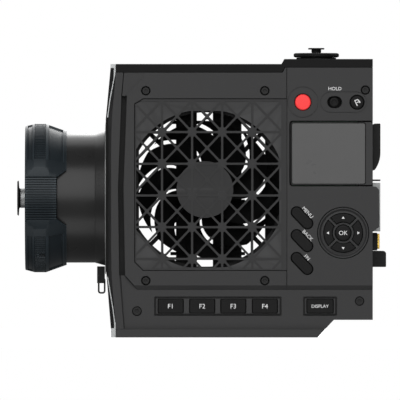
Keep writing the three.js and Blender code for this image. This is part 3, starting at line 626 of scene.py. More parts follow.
def make_control_panel():
    low, high = box_mm("control_panel")
    rear_x = box_mm("rear_plate")[1].x
    screen_low, screen_high = box_mm("screen_housing")
    gap = 0.6
    pocket_left, pocket_floor, pocket_roof = screen_low.x - gap, screen_low.z - gap, screen_high.z + gap
    corner, quarter = 1.8, math.pi / 2
    bulge_x = 64.75
    bulge_radius = high.x - bulge_x
    outline = [(low.x, low.z), (rear_x, low.z), (rear_x, 53.1), (high.x, 55.2)]
    outline += arc(bulge_x, pocket_floor - bulge_radius, bulge_radius, 0, quarter, 8)
    outline += arc(pocket_left + corner, pocket_floor + corner, corner, 3 * quarter, 2 * quarter, 6)
    outline += arc(pocket_left + corner, pocket_roof - corner, corner, 2 * quarter, quarter, 6)
    outline += [(rear_x, pocket_roof), (rear_x, high.z), (low.x, high.z)]
    record, marker = middle_mm("record_button"), middle_mm("marker_button")
    pad, row = middle_mm("pad_bezel"), middle_mm("hold_switch").z
    holes = [circle(record.x, record.z, 4.25), circle(marker.x, marker.z, 3.7), pill(45.15, row, 7.3, 5.9),
             circle(pad.x, pad.z, 12.9, 96), circle(*PANEL_SCREW, 2.25, 48)]
    for node in ("menu_button", "back_button", "fn_button"):
        spot = middle_mm(node)
        holes.append(pill(spot.x, spot.z, 13.6, 5.9, SIDE_KEY_LEAN))
    panel = plate_mesh([outline] + holes, low.y, high.y, bevel=PANEL_EDGE)

    groove, depths = 0.38, (side_y - 1, side_y + 0.35)
    ring_radius = 7.6
    ring = sharp_plate([circle(record.x, record.z, ring_radius + groove / 2, 96),
                        circle(record.x, record.z, ring_radius - groove / 2, 96)], *depths)
    frame_length, frame_width = 23.4, 10.6
    middle = marker.x + 4.95 - frame_length / 2
    frame_line = sharp_plate([pill(middle, row, frame_length, frame_width),
                              pill(middle, row, frame_length - 2 * groove, frame_width - 2 * groove)],
                             *depths)
    piece("control_panel_shell", carved(panel, [ring, frame_line, bottom_bevel(-1)]), "side_panel",
          replaces=["control_panel"], flat=True)


def make_chassis():
    """The inner body, with a fine seam between its front strip and the lower panel, and black sheets of
    painted shade in each groove and behind each top step.
    """
    floor_z = box_mm("chassis")[0].z
    seam_line = [(-61.75, 31.0), (-62.1, 31.0), (-60.2, floor_z - 1), (-59.85, floor_z - 1)]
    seams = [sharp_plate([seam_line], side * (side_y - 1), side * (side_y + 3)) for side in (1, -1)]
    piece("chassis_shell", carved(cad_copy("chassis"), seams), "side_panel", replaces=["chassis"], flat=True)
    # Black sheets in the groove before each cover's front edge and behind the covers' top step: painted
    # shade.
    groove = rectangle(-63.1, -53, 24.5, 132)
    step = rectangle(17.8, 21.2, 131.8, 134.8)
    for side, name in ((1, "left"), (-1, "right")):
        for part, outline, outer, inner in (("groove", groove, -0.05, 0.25), ("step", step, -1, 0)):
            painted_shade_sheet = sharp_plate([outline], side * (cover_inner_y + outer), side * (cover_inner_y + inner))
            piece(f"{name}_{part}_lining", painted_shade_sheet, "heat_black", flat=True)


def make_front():
    """The bright inlay, painted dark beside the lens as painted shade of its reflection, and the black cover
    before it.
    """
    low, high = box_mm("front_inlay_plate")
    beside_lens_low, beside_lens_high = 30.4, 110
    levels = (low.z - 1, beside_lens_low, beside_lens_high, high.z + 1)
    blocks = [block_mesh((low.x - 1, low.y - 1, bottom), (high.x + 1, high.y + 1, top), 0.01)
              for bottom, top in zip(levels, levels[1:])]
    ends = carved(cad_copy("front_inlay_plate"), [blocks[1]])
    piece("front_inlay_ends", ends, "silver_plate", replaces=["front_inlay_plate"], flat=True)
    # Beside the lens the inlay takes the black finish: painted shade where the bright metal reflects less
    # light.
    middle = carved(cad_copy("front_inlay_plate"), [blocks[0], blocks[2]])
    piece("front_inlay_painted_shade", middle, "dark_plate", flat=True)
    piece("front_cover_sheet", cad_copy("front_cover"), "dark_plate", replaces=["front_cover"], flat=True)


def make_fasteners():
    """The screws of both covers, of the control panel and of both lower panels."""
    for index in range(1, 5):
        node = f"cover_screw_{index}"
        place = middle_mm(node)
        screw(f"{node}_head", place.x, place.z, box_mm(node)[0].y, 2.0, replaces=[node])
        screw(f"right_{node}", place.x, place.z, -box_mm(node)[0].y, 2.0)
    screw("control_panel_screw", *PANEL_SCREW, side_y + 0.5, 1.95)
    for number, (across, up, radius) in enumerate(((-53.7, 13.15, 2.3), (57.65, 18.2, 2.2)), 1):
        screw(f"left_lower_screw_{number}", across, up, -LOWER_FACE, radius)
        screw(f"right_lower_screw_{number}", across, up, LOWER_FACE, radius)


def make_grille(node, side):
    """A flat panel with a raised lattice; inside the round opening only the lattice and hub are left. The
    panel and hub are painted darker than the lattice: painted shade.
    """
    low, high = box_mm(node)
    face_y = low.y if side < 0 else high.y
    rib_rise, panel_depth = 0.3, 2.5
    pitch_x, pitch_z = 15.05, 15.86
    start_x, start_z = -56.2, 39.3
    rib_width, smallest_hole = 1.05, 0.4
    outline = [(low.x, low.z + 4.1), (low.x + 4.1, low.z), (high.x, low.z), (high.x, high.z),
               (low.x + 4.1, high.z), (low.x, high.z - 2.45)]
    opening = [(min(max(across, -54.3), 17.5), min(max(up, 35.0), 113.3))
               for across, up in circle(fan_x, fan_z, 40.2, 96)]
    border = rectangle(low.x + 0.5, high.x - 2.2, low.z + 0.5, high.z - 0.6)
    ribs, field = [outline], [outline]
    for column in range(5):
        for row in range(-1, 5):
            left, bottom = start_x + column * pitch_x, start_z + row * pitch_z
            for triangle in cell_triangles(left, bottom, left + pitch_x, bottom + pitch_z):
                hole = clipped(rounded_triangle(triangle, rib_width / 2, 0.35), clipped(border, outline))
                if len(hole) > 2 and area(hole) > smallest_hole:
                    ribs.append(hole)
                hole = clipped(rounded_triangle(triangle, rib_width / 2 - 0.04, 0.9), opening)
                if len(hole) > 2 and area(hole) > smallest_hole:
                    field.append(hole)

    def layer(outer, inner):
        """Two depths under the face, the lower one in Y first."""
        return sorted((face_y - side * outer, face_y - side * inner))

    rib_mesh = lattice_mesh(ribs, *layer(0, rib_rise * 1.6))
    field_mesh = lattice_mesh(field, *layer(rib_rise, panel_depth))
    hub_mesh = plate_mesh([circle(fan_x - 0.4, fan_z, 14.2, 96)], *layer(rib_rise + 0.03, panel_depth - 0.1))
    piece(f"{node}_ribs", rib_mesh, "side_panel", material=GRILLE_RIB)
    # The panel and hub under the lattice take the darker finish: painted shade of the recesses.
    piece(f"{node}_panel", joined([field_mesh, hub_mesh]), "side_panel", replaces=[node],
          material=SHADED_GRILLE_FIELD)


def cell_triangles(left, bottom, right, top):
    middle = ((left + right) / 2, (bottom + top) / 2)
    corners = [(left, bottom), (right, bottom), (right, top), (left, top)]
    return [(corners[index], corners[(index + 1) % 4], middle) for index in range(4)]


def rounded_triangle(corners, inset, radius):
    """A triangle drawn in from its sides by half a rib, with its corners rounded."""
    points = [Vector(corner) for corner in corners]
    sides = [(points[(i + 1) % 3] - points[(i + 2) % 3]).length for i in range(3)]
    centre = sum((point * side for point, side in zip(points, sides)), Vector((0, 0))) / sum(sides)
    inner_radius = 2 * area([tuple(point) for point in points]) / sum(sides)
    scale = (inner_radius - inset) / inner_radius
    inner = [centre + (point - centre) * scale for point in points]
    result = []
    for index, corner in enumerate(inner):
        to_before = (inner[index - 1] - corner).normalized()
        to_after = (inner[(index + 1) % 3] - corner).normalized()
        half = to_before.angle(to_after) / 2
        reach = radius / math.tan(half)
        result += bend(corner + to_before * reach, corner, corner + to_after * reach, 4)
    return result


# ---------------------------------------------------------------- fan

def make_fan_rotor():
    """A hub cap with nine swept blades, thin at their edges."""
    blades, hub_radius, hub_rear = 9, 13.3, -33.6
    hub_profile = eased([(0, fan_front), (11.8, fan_front), (hub_radius, fan_front + 1.4),
                         (hub_radius, hub_rear)], 0.8)
    parts = [turned_mesh(hub_profile + [(0, hub_rear)], "y", (fan_x, 0, fan_z), 96)]
    for number in range(blades):
        parts.append(fan_blade(number * 2 * math.pi / blades))
    piece("fan_rotor_moulding", joined(parts), "fan_plastic", "fan_rotor", replaces=["fan_rotor"])

    # A black ring just in front of the fan frame: partly a fan shroud, partly painted shade darkening the
    # outer edge of the opening.
    outer, inner = 40.9, 38.6
    window = around("fan_frame", -0.1, 0)
    rim = [clipped(circle(fan_x, fan_z, radius, 96), window) for radius in (outer, inner)]
    front = box_mm("fan_frame")[0].y
    piece("fan_shroud_and_shade_rim", plate_mesh(rim, front + 0.1, front + 2, bevel=0.05), "heat_black", flat=True)


def fan_blade(start_angle, across_steps=14, along_steps=18):
    """A blade that sweeps back and gets narrower and flatter from its root to its tip."""
    root_radius, length, middle_y, depth = 12.6, 21.8, -42.5, 13
    sweep, root_width, narrowing, flattening = 0.75, 0.66, 0.10, 0.25
    bm = bmesh.new()
    layers = []
    for face in (1, -1):
        rows = []
        for i in range(along_steps + 1):
            along = i / along_steps
            radius = root_radius + along * length
            row = []
            for j in range(across_steps + 1):
                across = j / across_steps
                width = root_width - narrowing * along
                angle = start_angle + sweep * along * along + width * (across - 0.5)
                camber = 1.1 * math.sin(math.pi * across)
                thickness = 0.25 + 0.4 * math.sin(math.pi * min(1, across * 1.15))
                slope = depth * (across - 0.5) * (1 - flattening * along)
                y = middle_y + slope + camber + face * thickness
                row.append(bm.verts.new(Vector((fan_x + radius * math.cos(angle), y,
                                                fan_z + radius * math.sin(angle))) * MM))
            rows.append(row)
        layers.append(rows)
    front, back = layers
    for i in range(along_steps):
        for j in range(across_steps):
            for rows in layers:
                bm.faces.new((rows[i][j], rows[i][j + 1], rows[i + 1][j + 1], rows[i + 1][j]))
    edge = [(i, 0) for i in range(along_steps)]
    edge += [(along_steps, j) for j in range(across_steps)]
    edge += [(i, across_steps) for i in range(along_steps, 0, -1)]
    edge += [(0, j) for j in range(across_steps, 0, -1)]
    for (i, j), (k, m) in zip(edge, edge[1:] + edge[:1]):
        bm.faces.new((front[i][j], front[k][m], back[k][m], back[i][j]))
    return solid_from(bm)


# ---------------------------------------------------------------- lens mount

def make_lock_ring():
    """A ring with fine ribs and three raised lobes, each with a ribbed pad between two pockets."""
    core_radius, inner_radius = 36.0, 29.8
    top_radius, foot_radius = 37.3, 36.1
    core_rear, lobe_rear = -94.2, -89.2
    lobe_spacing = 120                       # degrees, the first lobe on the far side
    lobe_flat, lobe_foot, pad_end = 35.4, 42.7, 28.7    # degrees from the middle of a lobe
    rib_pitch = 2.0                          # degrees
    steps_per_degree = 4
    lobe_front, crown_front, crown_rear, rear_radius = -109.9, -105.2, -99.6, 33.6
    front_pocket, rear_pocket = (-108.6, -106.5), (-97.9, -91.1)
    edges = [-109.75, *front_pocket, -106.2, crown_front, -103.9, -102.6, -101.3, crown_rear, -98.0,
             rear_pocket[0], core_rear, -92.8, rear_pocket[1]]
    stations = [ring_front + 0.02, ring_front + 0.12, ring_front + 0.3]
    for edge in edges:
        stations += [edge - 0.12, edge + 0.12]
    stations = sorted(set(round(x, 3) for x in stations + [-90.2, -89.5])) + [lobe_rear]

    def lobe_height(x):
        """Height of a lobe's top along X: a flat crown with a slope to the front and one to the rear."""
        front_slope = (top_radius - foot_radius) / (crown_front - lobe_front)
        rear_slope = (rear_radius - top_radius) / (lobe_rear - crown_rear)
        return min(top_radius, foot_radius + (x - lobe_front) * front_slope,
                   top_radius + (x - crown_rear) * rear_slope)

    def from_lobe(degrees):
        return abs((degrees + lobe_spacing / 2) % lobe_spacing - lobe_spacing / 2)

    def lobe_share(degrees):
        """1 on a lobe, 0 between two lobes, and a slope at each end of a lobe."""
        return min(1.0, max(0.0, (lobe_foot - from_lobe(degrees)) / (lobe_foot - lobe_flat)))

    def radius_at(x, degrees):
        rib = (degrees / rib_pitch) % 1 < 0.5
        if from_lobe(degrees) > lobe_foot:
            near_edge = x < ring_front + 0.35
            return core_radius - (0.0 if rib else 0.8) - (0.3 if near_edge else 0)
        height = min(lobe_height(x), foot_radius + (top_radius - foot_radius) * lobe_share(degrees))
        if from_lobe(degrees) < pad_end:
            if crown_front < x < crown_rear:
                height -= 0.25 if rib else 0.6
            elif front_pocket[0] < x < front_pocket[1]:
                height -= 0.9
            elif rear_pocket[0] < x < rear_pocket[1]:
                height -= 1.2
        return height

    skirt_radius = 33.2
    bm = bmesh.new()
    columns = []
    for step in range(360 * steps_per_degree):
        degrees = step / steps_per_degree
        angle = math.radians(degrees)
        rear = core_rear + (lobe_rear - core_rear) * lobe_share(degrees)
        profile = [(inner_radius, core_rear), (inner_radius, ring_front + 0.4),
                   (inner_radius + 0.4, ring_front), (34.0, ring_front), (34.2, ring_front + 0.25),
                   (34.8, ring_front + 0.25), (35.0, ring_front)]
        for x in stations:
            chamfer = 0.35 if x < ring_front + 0.1 else 0
            profile.append((radius_at(x, degrees) - chamfer, min(x, rear)))
        profile += [(skirt_radius, rear), (skirt_radius, core_rear)]
        places = [(x, radius * math.cos(angle), lens_z + radius * math.sin(angle)) for radius, x in profile]
        columns.append([bm.verts.new(Vector(place) * MM) for place in places])
    bridged(bm, columns)
    shortest_edge = 0.002 * MM
    bmesh.ops.remove_doubles(bm, verts=bm.verts, dist=shortest_edge)
    bmesh.ops.dissolve_degenerate(bm, edges=bm.edges, dist=shortest_edge)
    notch = block_mesh((-102.9, -42, 40.25), (-99.9, -20, 41.75), 0.05)
    piece("lock_ring_machined", carved(solid_from(bm), [notch]), "lock_ring", "lock_ring",
          replaces=["lens_lock_ring"])


def make_barrel():
    """The mount tube: a thin flare at its root and fine steps at its front."""
    front, rear = box_mm("lens_barrel")[0].x, box_mm("lens_barrel")[1].x
    nose, tube, flare, throat, spigot = 28.7, 32.45, 33.9, 27.0, 30
    shoulder, wall = -93.9, -69.9
    outer = eased([(nose, shoulder), (tube, shoulder), (tube, -74.9), (tube + 0.12, -74.7), (flare, wall),
                   (spigot, wall), (spigot, rear), (throat, rear)], 0.25)
    baffles = [(throat + (0.7 if step % 2 else 0.0), rear - 1.2 - step * 1.1) for step in range(28)]
    inner = [(throat, -100), (throat, front + 0.4), (throat + 0.3, front), (nose, front)]
    piece("lens_barrel_tube", turned_mesh(outer + baffles + inner, "x", lens_axis), "mount_tube",
          replaces=["lens_barrel"])
    low, high = box_mm("flange_ring")
    bore, outside = 30.3, (high.z - low.z) / 2
    ring = eased([(bore, low.x), (outside, low.x), (outside, high.x), (bore, high.x)], 0.3)
    piece("flange_ring_turned", turned_mesh(ring, "x", lens_axis), "silver_plate", replaces=["flange_ring"])


def make_port_cap():
    """The ridged cap in the throat, its knob, and the bright sleeve on the knob's neck."""
    low, high = box_mm("port_cap")
    rim, lip = (high.z - low.z) / 2, 26.7
    face = low.x
    grooves = [(0, face + 0.5), (9.2, face + 0.5), (9.6, face + 0.2), (18, face + 0.2), (18.4, face + 0.7),
               (19.6, face + 0.7), (20, face + 0.2), (rim - 1.6, face), (rim, face + 0.9)]
    sealing_lips = [(rim, -107), (lip, -106.6), (rim, -106.2), (rim, -105.6), (lip, -105.2), (rim, -104.8),
                    (rim, high.x)]
    profile = eased(grooves + sealing_lips, 0.4)
    piece("port_cap_moulding", turned_mesh(profile + [(0, high.x)], "x", lens_axis), "moulding",
          "port_cap", replaces=["port_cap"])
    low, high = box_mm("port_cap_knob")
    knob, neck = (high.z - low.z) / 2, 4.75
    profile = eased([(0, low.x + 0.15), (5, low.x), (knob - 0.3, low.x), (knob, low.x + 0.45),
                     (knob, low.x + 0.8), (5.2, low.x + 1.0), (neck, low.x + 1.5), (neck, high.x)], 0.25)
    piece("port_cap_knob_moulding", turned_mesh(profile + [(0, high.x)], "x", lens_axis, 96), "moulding",
          "port_cap", replaces=["port_cap_knob"])
    sleeve = [(4.7, low.x + 1.6), (4.9, low.x + 1.7), (4.9, high.x - 0.5), (4.7, high.x - 0.4)]
    piece("port_cap_knob_sleeve", turned_mesh(sleeve, "x", lens_axis, 96), "moulding", "port_cap",
          material=FINISH["silver_plate"])


def tube_mesh(points, radius):
    """A round wire along points that close into a loop."""
    curve = bpy.data.curves.new("wire", "CURVE")
    curve.dimensions = "3D"
    curve.bevel_depth = radius * MM
    curve.bevel_resolution = 5
    spline = curve.splines.new("POLY")
    spline.points.add(len(points) - 1)
    for place, point in zip(spline.points, points):
        place.co = (*(Vector(point) * MM), 1)
    spline.use_cyclic_u = True
    return baked(loose("wire", curve))


def make_tether():
    post = softened(cad_copy("tether_post"), 0.5, 4)
    piece("tether_post_clevis", post, "moulding", replaces=["tether_post"])
    low, high = box_mm("tether_ring")
    wire = (high.y - low.y) / 2
    loop = around("tether_ring", -wire, 1.0, 8)
    piece("tether_ring_wire", tube_mesh([(x, 0, z) for x, z in loop], wire), "moulding", "tether_ring",
          replaces=["tether_ring"])


# ---------------------------------------------------------------- controls

def round_button(node, profile, rounding, slot, segments=96):
    """A button turned about its own axis, from its face to the back of its CAD node."""
    centre, rear = middle_mm(node), box_mm(node)[1].y
    mesh = turned_mesh(eased(profile + [(profile[-1][0], rear)], rounding) + [(0, rear)], "y",
                       (centre.x, 0, centre.z), segments)
    piece(f"{node}_cap", mesh, slot, node, replaces=[node])


def make_function_keys():
    """The four function keys and the display key, and the bezels round them."""
    keys = [(f"f{number}_key", f"F{number}", 3.3) for number in range(1, 5)]
    for node, text, size in [*keys, ("display_key", "DISPLAY", 2.35)]:
        low, high = box_mm(node)
        centre = middle_mm(node)
        cap = plate_mesh([around(node, 0, 0.8)], low.y, high.y, bevel=0.35, bevel_steps=4)
        piece(f"{node}_cap", cap, "key_cap", node, replaces=[node])
        label(f"{node}_label", text, size, centre.x, centre.z, low.y, body=node)
    for node, names in (("function_bezel", [key[0] for key in keys]), ("display_bezel", ["display_key"])):
        low, high = box_mm(node)
        rim = 0.5
        outer, inner = around(node, 0, rim), around(node, -rim, rim / 2)
        holes = [around(name, 0.25, 0.9) for name in names]
        frame_mesh = plate_mesh([inner] + holes, low.y, high.y, bevel=0.1)
        piece(f"{node}_frame", frame_mesh, "side_panel", replaces=[node], flat=True)
        # A black rim round each bezel, inside its outline: a painted shadow of the gap round the bezel.
        painted_shadow_rim = plate_mesh([outer, inner], low.y, high.y, bevel=0.05)
        piece(f"{node}_rim", painted_shadow_rim, "side_panel", material=FINISH["heat_black"], flat=True)


def make_switch_row():
    """The record button, the hold switch, and the marker button with its flag."""
    low = box_mm("record_button")[0]
    cap_radius, flange_y = 3.95, -51.2
    round_button("record_button", [(0, low.y + 0.12), (cap_radius - 0.5, low.y), (cap_radius, low.y + 0.5),
                                   (cap_radius, flange_y), (4.8, flange_y)], 0.3, "record_red")

    low, high = box_mm("hold_switch")
    stem = turned_mesh(eased([(0, low.y + 0.25), (1.0, low.y + 0.25), (1.5, low.y), (2.2, low.y + 0.1),
                              (2.4, low.y + 0.5), (2.4, high.y - 0.6)], 0.2) + [(0, high.y - 0.6)],
                       "y", (44.95, 0, middle_mm("hold_switch").z), 64)
    slide = plate_mesh([around("hold_switch", 0, 0.8)], high.y - 1.2, high.y, bevel=0.2)
    piece("hold_switch_slide", joined([stem, slide]), "key_cap", "hold_switch", replaces=["hold_switch"])
    label("hold_label", "HOLD", 2.4, 45.3, 124.45, side_y, slot="side_panel")

    marker, low = middle_mm("marker_button"), box_mm("marker_button")[0]
    round_button("marker_button", [(0, low.y), (2.9, low.y), (3.4, low.y + 0.4), (3.4, flange_y),
                                   (4.0, flange_y)], 0.25, "key_cap", 64)
    flag = [(0.1, -1.75), (-1.2, 0.85), (0.3, 1.4), (1.75, -0.2), (0.5, 0.2), (-0.6, -0.4)]
    half_stroke = 0.2
    strokes = []
    for (left, bottom), (right, top) in zip(flag, flag[1:]):
        along = Vector((right - left, top - bottom)).normalized() * half_stroke
        corners = [(left - along.y, bottom + along.x), (left + along.y, bottom - along.x),
                   (right + along.y, top - along.x), (right - along.y, top + along.x)]
        strokes.append(printed([(marker.x + across, marker.z + up) for across, up in corners], low.y))
    piece("marker_button_flag", joined(strokes), "key_cap", "marker_button", material=LABEL_INK)


def make_side_keys():
    """The three slanting keys, each with its name printed beside it."""
    lean = SIDE_KEY_LEAN
    keys = (("menu_button", "MENU", 0), ("back_button", "BACK", 0), ("fn_button", "FN", -0.4))
    for node, text, shift in keys:
        centre = middle_mm(node)
        low, high = box_mm(node)
        cap = plate_mesh([pill(centre.x, centre.z, 13, 5.3, lean)], low.y, high.y - 1.1, bevel=0.5,
                         bevel_steps=5)
        foot = plate_mesh([pill(centre.x, centre.z, 14, 6.4, lean)], high.y - 1.2, high.y, bevel=0.2)
        piece(f"{node}_cap", joined([cap, foot]), "key_cap", node, replaces=[node])
        away = Vector((math.sin(-lean), math.cos(lean))) * 3.95
        spot = away + Vector((math.cos(lean), math.sin(lean))) * shift
        label(f"{node}_label", text, 2.55, centre.x + spot.x, centre.z + spot.y, side_y, angle=lean,
              slot="side_panel")


def sector(across, up, inner, outer, direction, spoke):
    """A quarter of a ring, whose straight sides run beside the spokes."""
    points = []
    for radius, turn in ((outer, 1), (inner, -1)):
        reach = math.pi / 4 - math.asin(spoke / radius)
        points += arc(across, up, radius, direction - turn * reach, direction + turn * reach, 16)
    return points


def make_direction_pad():
    """A dished ring with a pocket for each of its four keys, and the round key in its middle."""
    centre = middle_mm("pad_bezel")
    low, high = box_mm("pad_bezel")
    across, up = centre.x, centre.z
    radius, rim, well = 12.6, low.y, low.y + 1.1
    profile = eased([(0, well), (10.3, well), (11.1, well + 0.25), (12.0, rim), (12.55, rim + 0.05),
                     (radius, rim + 0.3), (radius, high.y)], 0.3)
    ring = turned_mesh(profile + [(0, high.y)], "y", (across, 0, up), 128)
    quarter = math.pi / 2
    outlines = [sector(across, up, 5.2, 10.0, turn * quarter, 0.55) for turn in range(4)]
    outlines.append(circle(across, up, 4.3))
    pockets = [plate_mesh([outline], -60, -50, bevel=0.02) for outline in outlines]
    piece("pad_bezel_ring", softened(carved(ring, pockets), 0.12), "side_panel", replaces=["pad_bezel"])
    for turn, node in enumerate(("right_key", "up_key", "left_key", "down_key")):
        low, high = box_mm(node)
        direction = turn * quarter
        cap = plate_mesh([sector(across, up, 5.5, 9.7, direction, 0.85)], low.y, high.y - 1.1, bevel=0.3,
                         bevel_steps=4)
        foot = plate_mesh([sector(across, up, 5.5, 10.5, direction, 0.85)], high.y - 1.2, high.y, bevel=0.1)
        piece(f"{node}_cap", joined([cap, foot]), "key_cap", node, replaces=[node])
        cosine, sine = math.cos(direction), math.sin(direction)
        arrow = [(across + outwards * cosine - aside * sine, up + outwards * sine + aside * cosine)
                 for outwards, aside in ((7.1, -0.75), (8.3, 0), (7.1, 0.75))]
        piece(f"{node}_arrow", printed(arrow, low.y), "key_cap", node, material=LABEL_INK)
    face = box_mm("ok_button")[0].y
    round_button("ok_button", [(0, face), (3.2, face + 0.05), (3.9, face + 0.3), (4.0, face + 0.7)], 0.25,
                 "key_cap")
    label("ok_button_label", "OK", 3.0, across, up, face, body="ok_button")


def make_screen():
    low, high = box_mm("screen_housing")
    outlines = [around("screen_housing", 0, 1.3, 8), around("screen_glass", 0.2, 1, 8)]
    housing = plate_mesh(outlines, low.y, high.y, bevel=0.25)
    piece("screen_housing_shell", housing, "side_panel", replaces=["screen_housing"], flat=True)
    low, high = box_mm("screen_glass")
    glass = plate_mesh([around("screen_glass", 0, 0.9, 8)], low.y, high.y, bevel=0.3, bevel_steps=4)
    piece("screen_glass_pane", glass, "screen", replaces=["screen_glass"])


# ---------------------------------------------------------------- top stud and inserts

def make_stud():
    """The stud with its thread and head, its base, and the knurled wheel that locks it."""
    centre = middle_mm("accessory_stud")
    place = (centre.x, centre.y, 0)
    low, high = box_mm("stud_base")
    base = eased([(3, low.z), (10, low.z), (10, high.z), (3, high.z)], 0.3)
    piece("stud_base_turned", turned_mesh(base, "z", place, 128), "dark_plate", replaces=["stud_base"])

    low, high = box_mm("stud_lock_wheel")
    rim, bore = (high.x - low.x) / 2, 3
    teeth, steps_per_tooth, tooth_depth = 72, 6, 0.3
    bm = bmesh.new()
    columns = []
    for step in range(teeth * steps_per_tooth):
        angle = 2 * math.pi * step / (teeth * steps_per_tooth)
        tooth = rim - (0.0 if step % steps_per_tooth < steps_per_tooth / 2 else tooth_depth)
        profile = [(bore, low.z), (rim - 0.9, low.z), (tooth - 0.3, low.z + 0.25), (tooth, low.z + 0.5),
                   (tooth, high.z - 0.5), (tooth - 0.3, high.z - 0.25), (rim - 0.9, high.z),
                   (rim - 3, high.z), (rim - 3.2, high.z - 0.2), (5, high.z - 0.2), (4.8, high.z),
                   (bore, high.z)]
        places = [(centre.x + radius * math.cos(angle), centre.y + radius * math.sin(angle), z)
                  for radius, z in profile]
        columns.append([bm.verts.new(Vector(point) * MM) for point in places])
    bridged(bm, columns)
    piece("stud_wheel_knurled", solid_from(bm), "dark_plate", "stud_wheel", replaces=["stud_lock_wheel"],
          material=FINISH["heat_black"])

    low, high = box_mm("accessory_stud")
    shank, neck, head = 2.6, 2.45, 4.075
    thread = [(shank - (0.3 if step % 2 else 0), low.z + 0.3 + step * 0.2) for step in range(16)]
    profile = [(0, low.z), (shank, low.z), *thread, (neck, high.z - 1.9), (neck, high.z - 0.8),
               (4.0, high.z - 0.75), (head, high.z - 0.6), (head, high.z - 0.15), (3.9, high.z), (0, high.z)]
    stud = turned_mesh(profile, "z", place, 96)
    piece("accessory_stud_turned", stud, "dark_plate", replaces=["accessory_stud"])


def mount_mm(name):
    """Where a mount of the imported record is, in millimetres."""
    mount = next(mount for mount in frame["record"]["mounts"] if mount["name"] == name)
    return Vector(mount["pos_m"]) / MM


def make_inserts():
    """The screws of the top plate, and the threaded inserts of the top and base plates."""
    top = mount_mm("top_face").z
    head_top, seat = top - 0.6, top - 2.7
    for number, (x, y) in enumerate(((-46, -22), (-46, 22), (-10, -22), (-10, 22)), 1):
        profile = eased([(1.15, seat + 0.4), (1.2, head_top), (2.1, head_top), (2.3, head_top - 0.3),
                         (2.3, seat)], 0.1)
        head = turned_mesh([(0, seat + 0.4)] + profile + [(0, seat)], "z", (x, y, 0), 48)
        piece(f"top_plate_screw_{number}", head, "fastener")
    inserts = {  # foot of the insert, then the radius of its bore and of its outside
        "top_thread_insert_1": ((-28, -12, top - 3.3), 2.5, 3.05),
        "top_thread_insert_2": ((-28, 12, top - 3.3), 2.5, 3.05),
        "base_quarter_inch_insert": ((-20, 0, 0.1), 2.5, 3.05),
        "base_three_eighths_insert": ((16, 0, 0.1), 4.0, 4.65),
    }
    for name, (foot, bore, outside) in inserts.items():
        piece(name, threaded_insert(foot, bore, outside), "silver_plate")


def threaded_insert(foot, bore, outside):
    """A short sleeve with a thread's grooves in its bore."""
    height, steps, groove = 3.2, 12, 0.35
    thread = [(bore + (groove if step % 2 else 0), height * (1 - (step + 0.5) / steps))
              for step in range(steps)]
    profile = [(outside, 0), (outside, height - 0.2), (outside - 0.2, height), (bore + groove, height),
               *thread, (bore, 0)]
    return turned_mesh(profile, "z", foot, 64)


# ---------------------------------------------------------------- nodes that stay, and the stage

PLAIN_NODES = {  # nodes whose shape only needs its edges rounded: material slot and edge radius
    "top_plate": ("dark_plate", 0.15), "base_plate": ("side_panel", 0.15), "rear_plate": ("dark_plate", 0.25),
    "fan_frame": ("fan_plastic", 0.4), "heat_sink": ("heat_black", 0.3),
    "sensor_housing": ("heat_black", 0.3), "sensor_glass": ("optic", 0.15), "sensor_board": ("circuit", 0.1),
    "main_board": ("circuit", 0.1), "wedge_receiver": ("silver_plate", 0.25),
    "guide_plate": ("dark_plate", 0.15), "contact_block": ("moulding", 0.3),
    "contact_blades": ("contact_gold", 0.1),
    "battery_latch": ("moulding", 0.4), "port_cover": ("moulding", 0.4), "socket_block": ("moulding", 0.3),
}


def area_light(name, place, size, power):
    """A rectangular light, placed in metres and aimed at the middle of the camera."""
    target = (-22, 0, 70)
    light = bpy.data.lights.new(name, "AREA")
    light.shape = "RECTANGLE"
    light.size, light.size_y = size
    light.energy = power
    obj = bpy.data.objects.new(name, light)
    obj.location = place
    aim = Vector(target) * MM - obj.location
    obj.rotation_euler = aim.to_track_quat("-Z", "Y").to_euler()
    bpy.context.scene.collection.objects.link(obj)


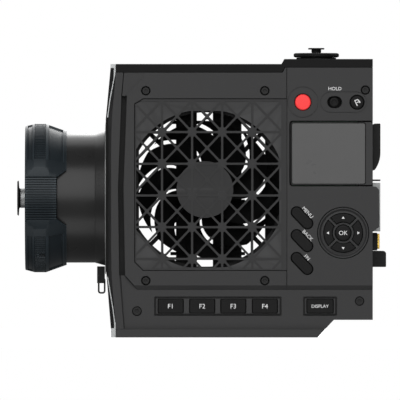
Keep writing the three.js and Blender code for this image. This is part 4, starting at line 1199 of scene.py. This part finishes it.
def make_stage():
    """A pale floor, a white surround and large soft lights in front, above and behind."""
    scene = bpy.context.scene
    bm = bmesh.new()
    bmesh.ops.create_grid(bm, x_segments=24, y_segments=24, size=0.6)
    mesh = from_bmesh(bm)
    below_feet = -0.4
    mesh.transform(Matrix.Translation((0, 0, below_feet * MM)))
    mesh.materials.append(FLOOR_PAINT)
    floor = loose("floor", mesh)
    floor.visible_glossy = False
    floor.visible_diffuse = False
    floor.visible_shadow = False

    world = bpy.data.worlds.new("studio")
    scene.world = world
    world.use_nodes = True
    tree = world.node_tree
    lighting, output = tree.nodes["Background"], tree.nodes["World Output"]
    feed(lighting, {"Color": grey(1), "Strength": 0.16})
    seen = add_node(tree, "Background", {"Color": grey(1), "Strength": 1})
    camera_ray = add_node(tree, "LightPath", {}).outputs["Is Camera Ray"]
    mix = add_node(tree, "MixShader", {"Fac": camera_ray, 1: lighting.outputs[0], 2: seen.outputs[0]})
    feed(output, {"Surface": mix.outputs["Shader"]})

    lights = {  # place and size in metres, and power in watts
        "front_softbox": ((-0.1, -1.5, 0.85), (1.8, 1.7), 28),
        "back_softbox": ((0.3, 1.5, 0.7), (1.6, 0.8), 14),
        "lens_side_softbox": ((-1.6, 0.2, 0.6), (1.0, 1.0), 5),
        "top_softbox": ((0.0, 1.0, 1.4), (1.6, 1.1), 9),
        "low_fill": ((-0.1, -0.7, -0.8), (1.4, 0.6), 4),
    }
    for name, (place, size, power) in lights.items():
        area_light(name, place, size, power)

    lens, sensor, frame_width = 1650.0, 36.0, 200.0
    view_x, view_z = -22.15, 68.75
    camera_data = bpy.data.cameras.new("camera")
    camera_data.lens = lens
    camera_data.sensor_width = sensor
    camera = bpy.data.objects.new("camera", camera_data)
    distance = frame_width * lens / sensor
    camera.location = Vector((view_x, side_y - distance, view_z)) * MM
    camera.rotation_euler = (math.pi / 2, 0, 0)
    camera_data.clip_start, camera_data.clip_end = 0.1, 50
    scene.collection.objects.link(camera)
    scene.camera = camera
    scene.view_settings.view_transform = "Standard"
    scene.cycles.use_denoising = True


make_covers()
make_chassis()
make_front()
make_fasteners()
make_grille("left_grille", -1)
make_grille("right_grille", 1)
make_fan_rotor()
make_lock_ring()
make_barrel()
make_port_cap()
make_tether()
make_function_keys()
make_switch_row()
make_side_keys()
make_direction_pad()
make_screen()
make_stud()
make_inserts()
for node, (slot, bevel) in PLAIN_NODES.items():
    piece(f"{node}_shell", softened(cad_copy(node), bevel), slot, body_of(node), replaces=[node],
          flat=node.endswith("_plate"))
make_stage()
